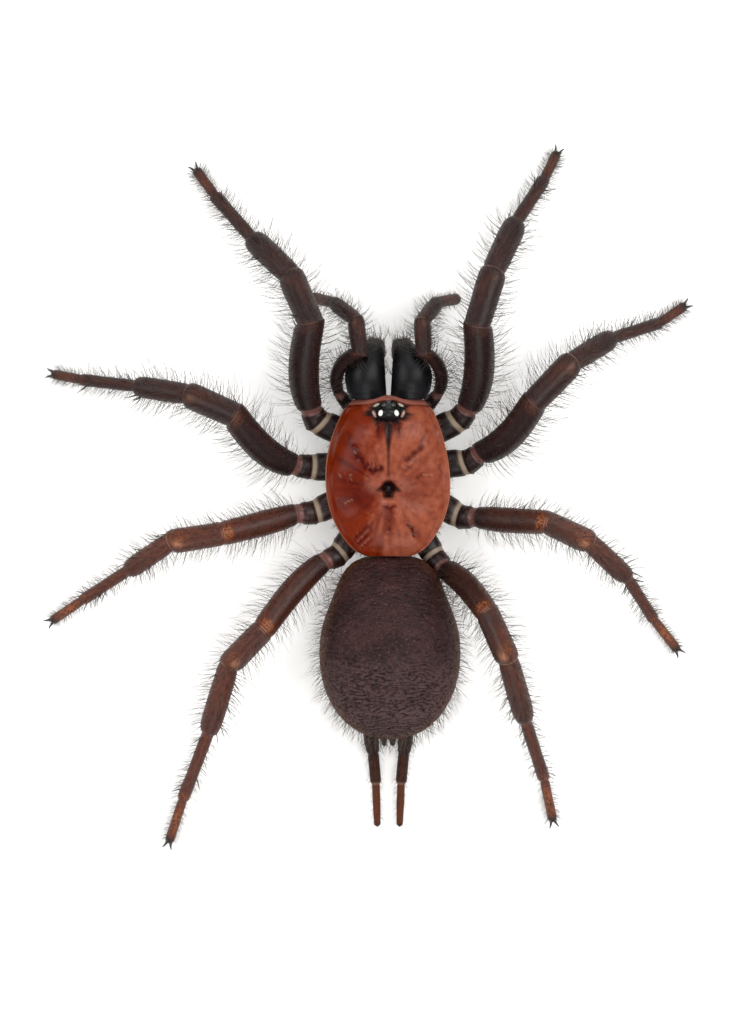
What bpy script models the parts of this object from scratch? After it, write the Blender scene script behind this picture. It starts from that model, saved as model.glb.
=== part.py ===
"""Female black tunnelweb spider, life size, standing still on a level floor.

Sizes are in millimetres and angles in degrees until make_node turns points into metres.
+Y is the way that the spider faces, +X is its right side, +Z is up and the floor is z = 0.
"""

import math
import random

import bmesh
import bpy
from mathutils import Vector
from mathutils.bvhtree import BVHTree

MM = 0.001
UP = Vector((0.0, 0.0, 1.0))
GAP = 0.3
SIDES = {"left": -1, "right": 1}
LIMB_FACETS = 8

# Carapace: distance behind its front edge, half width, height of the crown
CARAPACE_FRONT = 6.2
CARAPACE_KEYS = (
    (0.0, 1.8, 5.2),
    (0.8, 3.3, 6.1),
    (2.6, 3.85, 6.7),
    (6.2, 4.75, 6.1),
    (7.6, 4.72, 5.65),
    (9.8, 4.05, 5.5),
    (11.6, 2.85, 4.9),
    (12.2, 1.7, 4.5),
)
CARAPACE_BASE = 3.85
CARAPACE_EDGE = 0.5
CARAPACE_RINGS = 14
CARAPACE_ARC = 14

# Sternum and the body's core between the legs, an oval plug
STERNUM_HALF_WIDTH = 2.2
STERNUM_HALF_LENGTH = 3.6
STERNUM_ROUNDNESS = 2.5
STERNUM_LEVELS = ((1.3, 0.7), (1.5, 0.93), (1.8, 1.0), (CARAPACE_BASE - GAP, 1.0))
STERNUM_FACETS = 24

# Eye tubercle, and its eyes as place across, place along and radius
TUBERCLE_CENTRE_Y = 5.0
TUBERCLE_HALF_WIDTH = 1.25
TUBERCLE_HALF_LENGTH = 0.8
TUBERCLE_EDGE = 0.25
TUBERCLE_RISE = 0.55
EYES = ((0.31, 0.5, 0.25), (0.9, 0.42, 0.25), (0.98, -0.42, 0.25), (0.56, -0.22, 0.2))

# Chelicera: place along the body, centre across, half width, centre height, half height
CHELICERA_STATIONS = (
    (6.5, 1.66, 1.38, 4.35, 1.35),
    (6.9, 1.72, 1.48, 4.4, 1.6),
    (7.7, 1.76, 1.53, 4.4, 1.75),
    (8.5, 1.6, 1.33, 4.2, 1.7),
    (9.3, 1.32, 0.98, 3.8, 1.45),
    (9.85, 1.16, 0.7, 3.45, 1.1),
    (10.2, 1.1, 0.4, 3.25, 0.6),
)
# Fang, folded back below its chelicera: place along, place across, height, radius
FANG_STATIONS = (
    (9.55, 1.3, 1.98, 0.5),
    (9.4, 1.3, 1.55, 0.47),
    (8.85, 1.26, 1.15, 0.4),
    (8.0, 1.18, 1.05, 0.31),
    (7.2, 1.06, 1.2, 0.2),
    (6.6, 0.95, 1.5, 0.06),
)

# Abdomen
ABDOMEN_CENTRE = Vector((0.1, -13.15, 4.6))
# Half length behind the widest place and ahead of it
ABDOMEN_HALF_LENGTH = 6.72
ABDOMEN_FRONT_LENGTH = 7.0
ABDOMEN_HALF_WIDTH = 5.36
ABDOMEN_HALF_HEIGHT = 4.1
ABDOMEN_ROUNDNESS = 2.15
ABDOMEN_FRONT_DROP = 1.75
ABDOMEN_REAR_DROP = 0.9
ABDOMEN_RINGS = 12
ABDOMEN_FACETS = 20
ABDOMEN_END_ANGLE = 9.0

# Waist between the core and the abdomen: place along, height, radius
PEDICEL_STATIONS = ((-3.9, 2.6, 0.62), (-4.9, 2.7, 0.55), (-5.88, 2.85, 0.5))

# Long hind spinnerets, three joints each: length, heading from straight back, height at its end
SPINNERET_ROOT = (1.35, -19.55, 2.45)
SPINNERET_JOINTS = ((1.4, -8.0, 2.2), (2.35, -5.0, 1.7), (3.4, -2.0, 1.1))
SPINNERET_RADII = (0.55, 0.56, 0.46, 0.46, 0.36, 0.33, 0.18)
SPINNERET_WALL = Vector((0.0, -0.86, -0.51))
MEDIAN_ROOT = (0.0, -19.15, 1.75)
MEDIAN_PAD = (0.62, 0.3, 0.35)
MEDIAN_SPREAD = 0.33
MEDIAN_LENGTH = 1.15

# Legs: true lengths of coxa, trochanter, femur, patella, tibia, metatarsus and tarsus
LEG_LENGTHS = {
    1: (3.85, 1.2, 7.5, 4.3, 4.6, 4.7, 2.65),
    2: (3.65, 1.25, 7.0, 4.2, 4.3, 4.7, 2.6),
    3: (3.65, 1.3, 6.4, 4.0, 4.2, 4.6, 3.1),
    4: (3.6, 1.15, 7.5, 4.1, 5.5, 5.8, 3.6),
}
# Half width of each of those joints of a leg
LEG_HALF_WIDTHS = {
    1: (1.05, 0.92, 1.15, 1.03, 0.93, 0.5, 0.37),
    2: (1.05, 0.9, 1.1, 1.0, 0.82, 0.46, 0.36),
    3: (1.0, 0.87, 0.95, 0.92, 0.76, 0.44, 0.35),
    4: (0.95, 0.85, 0.95, 0.93, 0.83, 0.47, 0.35),
}
# How far the middle of the femur bows to the rear, or to the front where it is below nought
FEMUR_BOWS = {1: 0.5, 2: 0.55, 3: 0.05, 4: -0.3}
# Where each leg leaves the sternum, as a place along the body
HIP_PLACES = {1: 2.55, 2: 0.75, 3: -1.15, 4: -2.95}
HIP_HEIGHT = 2.35
# The pose: compass heading of each joint, from straight ahead round to straight back
LEG_HEADINGS = {
    ("left", 1): (65, 23, 0, 23, 46, 41, 36),
    ("right", 1): (63, 35, 6, 17, 25, 33, 26),
    ("left", 2): (90, 82, 50, 66, 81, 83, 79),
    ("right", 2): (84, 53, 46, 44, 59, 72, 56),
    ("left", 3): (115, 93, 105, 99, 124, 123, 124),
    ("right", 3): (121, 90, 94, 115, 133, 147, 142),
    ("left", 4): (143, 113, 138, 136, 163, 159, 162),
    ("right", 4): (149, 139, 136, 156, 164, 162, 168),
}
# The pose: height of the far end of each joint
LEG_HEIGHTS = {
    ("left", 1): (2.6, 3.2, 7.0, 5.1, 2.9, 1.15, 0.24),
    ("right", 1): (2.6, 3.2, 7.2, 6.3, 4.1, 1.6, 0.24),
    ("left", 2): (2.6, 3.2, 7.0, 5.3, 3.6, 1.5, 0.24),
    ("right", 2): (2.6, 3.2, 7.3, 6.4, 3.9, 1.2, 0.24),
    ("left", 3): (2.6, 3.0, 5.6, 5.0, 3.3, 1.3, 0.24),
    ("right", 3): (2.6, 3.3, 6.9, 5.2, 3.6, 1.1, 0.24),
    ("left", 4): (2.6, 3.1, 6.0, 4.3, 3.0, 1.2, 0.24),
    ("right", 4): (2.6, 3.2, 9.1, 7.7, 4.9, 1.65, 0.24),
}
# What is lower than this on a foot lies flat on the floor
SOLE_HEIGHT = 0.16
LEG_TALLNESS = 1.06
CLAW_LENGTH = 0.95
CLAW_RADIUS = 0.17
CLAW_SPREAD = 17.0
CLAW_OFFSET = 0.15

# Palps: root, then coxa and trochanter, the bowed femur's length with its first and last heading,
# and the patella, the tibia and the tarsus
PALP_ROOT = (0.95, 3.75, 2.1)
PALP_COXA = (2.9, 50, 2.3)
PALP_TROCHANTER = (1.1, 38, 2.75)
PALP_FEMURS = {"left": (5.1, 12, -68), "right": (4.85, 17, -58)}
PALP_FEMUR_STEPS = 5
PALP_KNEE_HEIGHT = 6.05
PALP_OUTER = {
    "left": ((2.6, 7, 5.3), (3.0, 52, 3.2), (2.85, 76, 0.9)),
    "right": ((2.5, -3, 5.3), (2.8, 38, 3.2), (2.8, 79, 0.9)),
}
PALP_HALF_WIDTHS = (0.6, 0.5, 0.46, 0.64, 0.57, 0.42)

# Bristles are flat locks: half width and thickness at the root, and how deep that is sunk
LOCK_HALF_WIDTH = 0.31
LOCK_THICKNESS = 0.5
LOCK_SINK = 0.36
# Lock's size along its length
LOCK_SHAPE = ((0.0, 1.0), (0.38, 0.84), (0.72, 0.5), (1.0, 0.08))
# Angles of a lock from its limb, at its root and at its tip
LOCK_LEAN = (62.0, 30.0)
# Turns about the limb that are tried in order, until the lock clears its neighbours
LOCK_TURNS = (0, 18, -18, 36, -36)
LOCK_CLEARANCE = GAP + 0.06
LOCK_SPACING = 0.85
LOCK_JITTER = 0.09
LOCK_SEED = 7
# Rows of locks by turns, as angles up from the right side of the limb
LIMB_ROLLS = ((-10, 48, 190), (12, 168), (-10, 132, 190), (12, 90, 168))
THIN_ROLLS = ((20, 160), (-6, 186))
CHELICERA_ROLLS = ((25, 90, 155), (58, 122))
# Where locks grow: first and last place along a joint, number of rows, length, rows' angles
COATS = {
    "chelicera": (0.6, 0.84, 2, 1.3, CHELICERA_ROLLS),
    "femur": (0.17, 0.86, 4, 2.5, LIMB_ROLLS),
    "patella": (0.28, 0.74, 2, 2.1, LIMB_ROLLS),
    "tibia": (0.2, 0.8, 3, 2.1, LIMB_ROLLS),
    "foot": (0.14, 0.5, 3, 1.6, THIN_ROLLS),
    "palp_femur": (0.35, 0.8, 2, 1.7, THIN_ROLLS),
    "palp_patella": (0.3, 0.75, 2, 1.8, THIN_ROLLS),
    "palp_tip": (0.2, 0.8, 3, 1.6, THIN_ROLLS),
}
# Abdomen's fringe: heights above its middle as angles, number of locks, how far it goes round
FRINGE_ROWS = ((-16, 14, 120), (4, 18, 128), (24, 14, 118))
FRINGE_LENGTH = 1.5

# How thick a joint is along its length, as shares of its length and of its half width
COXA_SHAPE = ((0.0, 0.7), (0.25, 0.88), (0.6, 1.0), (0.9, 0.97))
TROCHANTER_SHAPE = ((0.0, 0.86), (0.3, 1.0), (0.75, 1.0), (1.0, 0.84))
FEMUR_SHAPE = ((0.0, 0.78), (0.1, 0.92), (0.35, 1.0), (0.7, 0.99), (0.93, 0.95), (1.0, 0.8))
PATELLA_SHAPE = ((0.0, 0.82), (0.13, 0.97), (0.5, 1.0), (0.87, 0.98), (1.0, 0.82))
TIBIA_SHAPE = ((0.0, 0.84), (0.12, 0.97), (0.5, 1.0), (0.88, 1.03), (1.0, 0.82))
METATARSUS_SHAPE = ((0.0, 0.94), (0.15, 1.0), (0.55, 0.96), (0.9, 0.96), (1.0, 0.82))
TARSUS_SHAPE = ((0.12, 1.0), (0.5, 1.0), (0.82, 0.95), (1.0, 0.8))

# Name, colour, roughness
FINISHES = {
    "carapace": ("carapace_red_brown", (0.28, 0.06, 0.02), 0.35),
    "sternum": ("sternum_brown", (0.16, 0.05, 0.025), 0.45),
    "eye": ("eye_tubercle_black", (0.02, 0.018, 0.018), 0.15),
    "chelicera": ("chelicera_black", (0.012, 0.011, 0.013), 0.25),
    "fang": ("fang_black", (0.01, 0.008, 0.008), 0.15),
    "pedicel": ("pedicel_brown", (0.12, 0.06, 0.04), 0.55),
    "abdomen": ("abdomen_purple_brown", (0.045, 0.026, 0.026), 0.6),
    "spinneret": ("spinneret_brown", (0.12, 0.055, 0.03), 0.5),
    "leg": ("leg_black_brown", (0.03, 0.014, 0.011), 0.4),
    "palp": ("palp_brown", (0.06, 0.028, 0.018), 0.45),
}


def clear_scene():
    """Empty the scene."""
    for obj in list(bpy.data.objects):
        bpy.data.objects.remove(obj)


def finish_for(node_name):
    """The material of a node, made the first time that it is asked for."""
    kind = next(key for key in FINISHES if node_name.startswith(key))
    name, colour, roughness = FINISHES[kind]
    material = bpy.data.materials.get(name)
    if material is None:
        material = bpy.data.materials.new(name)
        material.use_nodes = True
        shader = material.node_tree.nodes["Principled BSDF"]
        shader.inputs["Base Color"].default_value = (*colour, 1.0)
        shader.inputs["Roughness"].default_value = roughness
        shader.inputs["Metallic"].default_value = 0.0
    return material


def make_node(name, rings):
    """A closed object from rings of points, skinned in order and capped at both ends."""
    body = bmesh.new()
    rows = [[body.verts.new(point * MM) for point in ring] for ring in rings]
    for near, far in zip(rows, rows[1:]):
        for i in range(len(near)):
            j = (i + 1) % len(near)
            body.faces.new((near[i], near[j], far[j], far[i]))
    body.faces.new(reversed(rows[0]))
    body.faces.new(rows[-1])
    bmesh.ops.recalc_face_normals(body, faces=body.faces)
    mesh = bpy.data.meshes.new(name)
    body.to_mesh(mesh)
    body.free()
    dress(mesh, name)
    node = bpy.data.objects.new(name, mesh)
    bpy.context.scene.collection.objects.link(node)
    return node


def dress(mesh, name):
    """Shade a node's mesh smooth between its sharp edges and give it its finish."""
    mesh.shade_smooth()
    mesh.set_sharp_from_angle(angle=math.radians(50))
    mesh.materials.clear()
    mesh.materials.append(finish_for(name))


def fuse(node, pieces):
    """Join the pieces to the node they grow from, and keep its largest closed surface."""
    group = bpy.data.collections.new("pieces")
    bpy.context.scene.collection.children.link(group)
    for piece in pieces:
        bpy.context.scene.collection.objects.unlink(piece)
        group.objects.link(piece)
    union = node.modifiers.new("union", "BOOLEAN")
    union.operation = "UNION"
    union.operand_type = "COLLECTION"
    union.collection = group
    union.solver = "EXACT"
    graph = bpy.context.evaluated_depsgraph_get()
    fused = bpy.data.meshes.new_from_object(node.evaluated_get(graph))
    node.modifiers.clear()
    for piece in pieces:
        bpy.data.objects.remove(piece)
    bpy.data.collections.remove(group)
    keep_largest(fused)
    dress(fused, node.name)
    node.data = fused


def keep_largest(mesh):
    """Drop every part of the mesh that isn't joined to its largest surface."""
    body = bmesh.new()
    body.from_mesh(mesh)
    left = set(body.verts)
    surfaces = []
    while left:
        reached = [left.pop()]
        for vertex in reached:
            linked = {edge.other_vert(vertex) for edge in vertex.link_edges} & left
            left -= linked
            reached.extend(linked)
        surfaces.append(reached)
    surfaces.sort(key=len)
    for surface in surfaces[:-1]:
        bmesh.ops.delete(body, geom=surface, context="VERTS")
    body.to_mesh(mesh)
    body.free()


def ball(name, centre, radius):
    """A round piece, as a helper object to be fused with a node."""
    rings = []
    for level in (-75, -28, 28, 75):
        size = radius * math.cos(math.radians(level))
        ring = section(Vector((0.0, 1.0, 0.0)), size, size, 7)
        rise = Vector((0.0, radius * math.sin(math.radians(level)), 0.0))
        rings.append([centre + offset + rise for offset in ring])
    return make_node(name, rings)


def spike(points, radii, facets=4):
    """A curved pointed piece along the points, as a helper object to be fused with a node."""
    stations = [(point, radius, radius) for point, radius in zip(points, radii)]
    return make_node("leg_piece", tube(stations, facets=facets))


def smooth(keys, place):
    """Values on a smooth curve through keys, each a place followed by its values."""
    last = len(keys) - 2
    i = min(last, max(0, sum(key[0] <= place for key in keys) - 1))
    before, start, end, after = keys[max(i - 1, 0)], keys[i], keys[i + 1], keys[min(i + 2, last + 1)]
    span = end[0] - start[0]
    t = (place - start[0]) / span
    values = []
    for k in range(1, len(start)):
        slope_in = span * (end[k] - before[k]) / (end[0] - before[0])
        slope_out = span * (after[k] - start[k]) / (after[0] - start[0])
        values.append(
            (2 * t**3 - 3 * t**2 + 1) * start[k]
            + (t**3 - 2 * t**2 + t) * slope_in
            + (3 * t**2 - 2 * t**3) * end[k]
            + (t**3 - t**2) * slope_out
        )
    return values


def section(along, half_width, half_height, facets):
    """An oval across a limb, as offsets from its centre."""
    across = along.cross(UP).normalized()
    above = across.cross(along)
    angles = [2 * math.pi * (k + 0.5) / facets for k in range(facets)]
    return [across * (half_width * math.cos(a)) + above * (half_height * math.sin(a)) for a in angles]


def tube(stations, start_normal=None, end_normal=None, facets=LIMB_FACETS):
    """Rings of a limb through stations of centre, half width and half height.

    The end rings lie in the planes that the normals give, and the rings between lean towards
    them, so that two limbs that share a plane meet face to face.
    """
    centres = [station[0] for station in stations]
    steps = [(b - a).normalized() for a, b in zip(centres, centres[1:])]
    along = [steps[0]] + [(a + b).normalized() for a, b in zip(steps, steps[1:])] + [steps[-1]]
    start_normal = start_normal or along[0]
    end_normal = end_normal or along[-1]
    lengths = [(b - a).length for a, b in zip(centres, centres[1:])]
    total = sum(lengths)
    rings = []
    for i, (centre, half_width, half_height) in enumerate(stations):
        share = sum(lengths[:i]) / total
        ring = []
        for offset in section(along[i], half_width, half_height, facets):
            lean = -offset.dot(start_normal) / along[0].dot(start_normal) * (1 - share) ** 2
            lean -= offset.dot(end_normal) / along[-1].dot(end_normal) * share**2
            ring.append(centre + offset + along[i] * lean)
        rings.append(ring)
    return rings


def joint_stations(start, end, shape, half_width, tallness=LEG_TALLNESS):
    """Stations along one straight joint of a limb."""
    return [
        (start.lerp(end, share), half_width * size, half_width * size * tallness)
        for share, size in shape
    ]


def bowed(stations, side, heading, bow):
    """The stations of a joint, bowed sideways to the rear of its heading."""
    turn = math.radians(heading + 90)
    sideways = Vector((side * math.sin(turn), math.cos(turn), 0.0))
    start, end = stations[0][0], stations[-1][0]
    bent = []
    for centre, half_width, half_height in stations:
        share = (centre - start).length / (end - start).length
        lift = bow * math.sin(math.pi * share**0.8)
        bent.append((centre + sideways * lift, half_width, half_height))
    return bent


def next_point(point, side, length, heading, height):
    """The far end of a joint with this true length, whose end is at this height."""
    reach = math.sqrt(length**2 - (height - point.z) ** 2)
    turn = math.radians(heading)
    return Vector((point.x + side * reach * math.sin(turn), point.y + reach * math.cos(turn), height))


def meeting_plane(before, joint, after):
    """The normal of the plane in which two joints of a limb meet."""
    return ((joint - before).normalized() + (after - joint).normalized()).normalized()


def drawn_back(point, towards, normal):
    """The point moved half a gap from the meeting plane, along its own joint."""
    along = (towards - point).normalized()
    return point + along * (GAP / 2 / abs(along.dot(normal)))


def sternum_outline(angle, scale=1.0):
    """A point on the outline of the body's core."""
    power = 2 / STERNUM_ROUNDNESS
    x = math.copysign(abs(math.cos(angle)) ** power, math.cos(angle)) * STERNUM_HALF_WIDTH
    y = math.copysign(abs(math.sin(angle)) ** power, math.sin(angle)) * STERNUM_HALF_LENGTH
    return x * scale, y * scale


def hip(side, place):
    """Where a coxa leaves the core, one gap outside its wall, and the wall's normal there."""
    share = abs(place) / STERNUM_HALF_LENGTH
    x = STERNUM_HALF_WIDTH * (1 - share**STERNUM_ROUNDNESS) ** (1 / STERNUM_ROUNDNESS)
    power = STERNUM_ROUNDNESS - 1
    normal_x = (x / STERNUM_HALF_WIDTH) ** power / STERNUM_HALF_WIDTH
    normal_y = math.copysign(share**power, place) / STERNUM_HALF_LENGTH
    normal = Vector((side * normal_x, normal_y, 0.0)).normalized()
    return Vector((side * x, place, HIP_HEIGHT)) + normal * GAP, normal


def carapace_height(x, y):
    """Height of the carapace's upper face."""
    half_width, crown = smooth(CARAPACE_KEYS, CARAPACE_FRONT - y)
    edge = CARAPACE_BASE + CARAPACE_EDGE
    share = min(1.0, abs(x) / half_width)
    return edge + (crown - edge) * (1 - share**2.3) ** 0.75


def build_carapace():
    length = CARAPACE_KEYS[-1][0]
    rings = []
    for i in range(CARAPACE_RINGS):
        distance = length * 0.5 * (1 - math.cos(math.pi * i / (CARAPACE_RINGS - 1)))
        y = CARAPACE_FRONT - distance
        half_width, crown = smooth(CARAPACE_KEYS, distance)
        ring = []
        for k in range(CARAPACE_ARC + 1):
            x = -half_width * math.cos(math.pi * k / CARAPACE_ARC)
            ring.append(Vector((x, y, carapace_height(x, y))))
        for share in (0.94, 0.5, 0.0, -0.5, -0.94):
            ring.append(Vector((half_width * share, y, CARAPACE_BASE)))
        rings.append(ring)
    return make_node("carapace", rings)


def build_sternum():
    rings = []
    for height, scale in STERNUM_LEVELS:
        angles = [2 * math.pi * k / STERNUM_FACETS for k in range(STERNUM_FACETS)]
        rings.append([Vector((*sternum_outline(angle, scale), height)) for angle in angles])
    return make_node("sternum", rings)


def build_eye_tubercle():
    levels = (
        (0.0, 0.04),
        (0.0, 0.6),
        (0.0, 1.0),
        (TUBERCLE_EDGE, 0.98),
        (TUBERCLE_EDGE + 0.75 * TUBERCLE_RISE, 0.72),
        (TUBERCLE_EDGE + TUBERCLE_RISE, 0.3),
    )
    rings = []
    for rise, scale in levels:
        ring = []
        for k in range(16):
            angle = 2 * math.pi * k / 16
            x = TUBERCLE_HALF_WIDTH * scale * math.cos(angle)
            y = TUBERCLE_CENTRE_Y + TUBERCLE_HALF_LENGTH * scale * math.sin(angle)
            ring.append(Vector((x, y, carapace_height(x, y) + GAP + rise)))
        rings.append(ring)
    tubercle = make_node("eye_tubercle", rings)
    eyes = []
    for x, ahead, radius in EYES:
        for side in SIDES.values():
            y = TUBERCLE_CENTRE_Y + ahead
            share = math.hypot(x / TUBERCLE_HALF_WIDTH, ahead / TUBERCLE_HALF_LENGTH)
            rise = TUBERCLE_EDGE + TUBERCLE_RISE * max(0.0, 1 - share**2)
            centre = Vector((side * x, y, carapace_height(x, y) + GAP + rise))
            eyes.append(ball("eye_piece", centre, radius))
    fuse(tubercle, eyes)
    return tubercle


def build_jaw(side_name, side, limbs):
    stations = []
    for y, x, half_width, z, half_height in CHELICERA_STATIONS:
        stations.append((Vector((side * x, y, z)), half_width, half_height))
    chelicera = make_node(f"chelicera_{side_name}", tube(stations, facets=14))
    limbs[chelicera.name] = stations
    stations = [(Vector((side * x, y, z)), radius, radius) for y, x, z, radius in FANG_STATIONS]
    fang = make_node(f"fang_{side_name}", tube(stations, start_normal=-UP, facets=8))
    return [chelicera, fang]


def build_waist():
    stations = [(Vector((0.0, y, z)), radius, radius) for y, z, radius in PEDICEL_STATIONS]
    forward = Vector((0.0, -1.0, 0.0))
    return make_node("pedicel", tube(stations, forward, forward))


def build_abdomen():
    rings = []
    for i in range(ABDOMEN_RINGS):
        end = math.radians(ABDOMEN_END_ANGLE)
        angle = end + (math.pi - 2 * end) * i / (ABDOMEN_RINGS - 1)
        place = math.cos(angle)
        size = (1 - abs(place) ** ABDOMEN_ROUNDNESS) ** (1 / ABDOMEN_ROUNDNESS)
        drop = (ABDOMEN_FRONT_DROP if place > 0 else ABDOMEN_REAR_DROP) * place**2
        half_length = ABDOMEN_FRONT_LENGTH if place > 0 else ABDOMEN_HALF_LENGTH
        centre = ABDOMEN_CENTRE + Vector((0.0, half_length * place, -drop))
        ring = []
        for k in range(ABDOMEN_FACETS):
            turn = 2 * math.pi * k / ABDOMEN_FACETS
            across = ABDOMEN_HALF_WIDTH * size * math.cos(turn)
            rise = ABDOMEN_HALF_HEIGHT * size * math.sin(turn)
            ring.append(centre + Vector((across, 0.0, rise)))
        rings.append(ring)
    return make_node("abdomen", rings)


def build_spinnerets():
    nodes = []
    for side_name, side in SIDES.items():
        x, y, z = SPINNERET_ROOT
        point = Vector((side * x, y, z))
        stations = [(point, SPINNERET_RADII[0], SPINNERET_RADII[0])]
        for i, (length, heading, height) in enumerate(SPINNERET_JOINTS):
            far = next_point(point, side, length, 180 - heading, height)
            for share, radius in zip((0.45, 1.0), SPINNERET_RADII[2 * i + 1 :]):
                stations.append((point.lerp(far, share), radius, radius))
            point = far
        nodes.append(make_node(f"spinneret_{side_name}", tube(stations, SPINNERET_WALL)))
    nodes.append(build_median_spinnerets())
    return nodes


def build_median_spinnerets():
    """The short pair between the long ones, on one small pad."""
    centre = Vector(MEDIAN_ROOT)
    away = SPINNERET_WALL * MEDIAN_PAD[2]
    stations = [(centre, *MEDIAN_PAD[:2]), (centre + away, *MEDIAN_PAD[:2])]
    pad = make_node("spinnerets_median", tube(stations))
    cones = []
    for side in SIDES.values():
        root = centre + Vector((side * MEDIAN_SPREAD, 0.0, 0.0)) + away / 2
        reach = Vector((0.0, -MEDIAN_LENGTH, -0.3 * MEDIAN_LENGTH))
        cones.append(spike([root, root + reach * 0.5, root + reach], (0.3, 0.27, 0.12), 6))
    fuse(pad, cones)
    return pad


def build_palp(side_name, side, limbs):
    root = Vector((side * PALP_ROOT[0], *PALP_ROOT[1:]))
    coxa_end = next_point(root, side, *PALP_COXA)
    hip_end = next_point(coxa_end, side, *PALP_TROCHANTER)
    bow = [hip_end]
    femur_length, first, last = PALP_FEMURS[side_name]
    for i in range(PALP_FEMUR_STEPS):
        share = i / (PALP_FEMUR_STEPS - 1)
        height = hip_end.z + (PALP_KNEE_HEIGHT - hip_end.z) * (i + 1) / PALP_FEMUR_STEPS
        step = femur_length / PALP_FEMUR_STEPS
        bow.append(next_point(bow[-1], side, step, first + (last - first) * share, height))
    outer = [bow[-1]]
    for joint in PALP_OUTER[side_name]:
        outer.append(next_point(outer[-1], side, *joint))
    widths = PALP_HALF_WIDTHS
    nodes = []

    plane = meeting_plane(coxa_end, hip_end, bow[1])
    stations = joint_stations(root, coxa_end, COXA_SHAPE, widths[0], 1.2)
    trimmed = drawn_back(hip_end, coxa_end, plane)
    stations += joint_stations(coxa_end, trimmed, TROCHANTER_SHAPE, widths[1])
    nodes.append(make_node(f"palp_{side_name}_coxa", tube(stations, Vector((0, 1, 0)), plane)))

    knee = meeting_plane(bow[-2], bow[-1], outer[1])
    path = [drawn_back(bow[0], bow[1], plane)] + bow[1:-1] + [drawn_back(bow[-1], bow[-2], knee)]
    sizes = (0.85, 1.0, 1.0, 1.04, 1.1, 0.95)
    stations = [(point, widths[2] * size, widths[2] * size) for point, size in zip(path, sizes)]
    nodes.append(make_node(f"palp_{side_name}_femur", tube(stations, plane, knee)))
    limbs[nodes[-1].name] = stations

    ankle = meeting_plane(*outer[:3])
    start, end = drawn_back(outer[0], outer[1], knee), drawn_back(outer[1], outer[0], ankle)
    stations = joint_stations(start, end, PATELLA_SHAPE, widths[3])
    nodes.append(make_node(f"palp_{side_name}_patella", tube(stations, knee, ankle)))
    limbs[nodes[-1].name] = stations

    start = drawn_back(outer[1], outer[2], ankle)
    stations = joint_stations(start, outer[2], TIBIA_SHAPE[:-1], widths[4])
    stations += joint_stations(outer[2], outer[3], ((0.08, 0.96),) + TARSUS_SHAPE[1:], widths[5])
    nodes.append(make_node(f"palp_{side_name}_tip", tube(stations, ankle)))
    limbs[nodes[-1].name] = stations
    return nodes


def build_leg(side_name, side, pair, limbs):
    root, wall = hip(side, HIP_PLACES[pair])
    lengths, widths = LEG_LENGTHS[pair], LEG_HALF_WIDTHS[pair]
    joints = [root]
    pose = zip(lengths, LEG_HEADINGS[side_name, pair], LEG_HEIGHTS[side_name, pair])
    for length, heading, height in pose:
        joints.append(next_point(joints[-1], side, length, heading, height))
    planes = [wall] + [meeting_plane(*joints[i : i + 3]) for i in range(6)]
    name = f"leg_{side_name}_{pair}"
    nodes = []

    end = drawn_back(joints[2], joints[1], planes[2])
    stations = joint_stations(root, joints[1], COXA_SHAPE, widths[0], 0.9)
    stations += joint_stations(joints[1], end, TROCHANTER_SHAPE, widths[1], 1.0)
    nodes.append(make_node(f"{name}_coxa", tube(stations, wall, planes[2])))

    shapes = {"femur": FEMUR_SHAPE, "patella": PATELLA_SHAPE, "tibia": TIBIA_SHAPE}
    for i, (part, shape) in enumerate(shapes.items(), start=2):
        start = drawn_back(joints[i], joints[i + 1], planes[i])
        end = drawn_back(joints[i + 1], joints[i], planes[i + 1])
        stations = joint_stations(start, end, shape, widths[i])
        if part == "femur":
            stations = bowed(stations, side, LEG_HEADINGS[side_name, pair][i], FEMUR_BOWS[pair])
        nodes.append(make_node(f"{name}_{part}", tube(stations, planes[i], planes[i + 1])))
        limbs[nodes[-1].name] = stations

    start = drawn_back(joints[5], joints[6], planes[5])
    stations = joint_stations(start, joints[6], METATARSUS_SHAPE, widths[5])
    stations += joint_stations(joints[6], joints[7], TARSUS_SHAPE, widths[6])
    rings = tube(stations, planes[5])
    for ring in rings:
        for point in ring:
            if point.z < SOLE_HEIGHT:
                point.z = 0.0
    foot = make_node(f"{name}_foot", rings)
    limbs[foot.name] = stations
    fuse(foot, claws(joints[6], joints[7]))
    nodes.append(foot)
    return nodes


def claws(ankle, tip):
    """The pair of hooked claws that spread from a tarsus's tip."""
    along = (tip - ankle).normalized()
    across = along.cross(UP).normalized()
    heading = math.atan2(along.x, along.y)
    pieces = []
    for side in SIDES.values():
        turn = heading + side * math.radians(CLAW_SPREAD)
        ahead = Vector((math.sin(turn), math.cos(turn), 0.0))
        root = tip - along * CLAW_RADIUS + UP * CLAW_RADIUS / 2 + across * (side * CLAW_OFFSET)
        middle = root + ahead * CLAW_LENGTH * 0.6 + UP * CLAW_LENGTH * 0.16
        point = root + ahead * CLAW_LENGTH - UP * CLAW_LENGTH * 0.18
        pieces.append(spike([root, middle, point], (CLAW_RADIUS, CLAW_RADIUS * 0.75, 0.03)))
    return pieces


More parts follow.
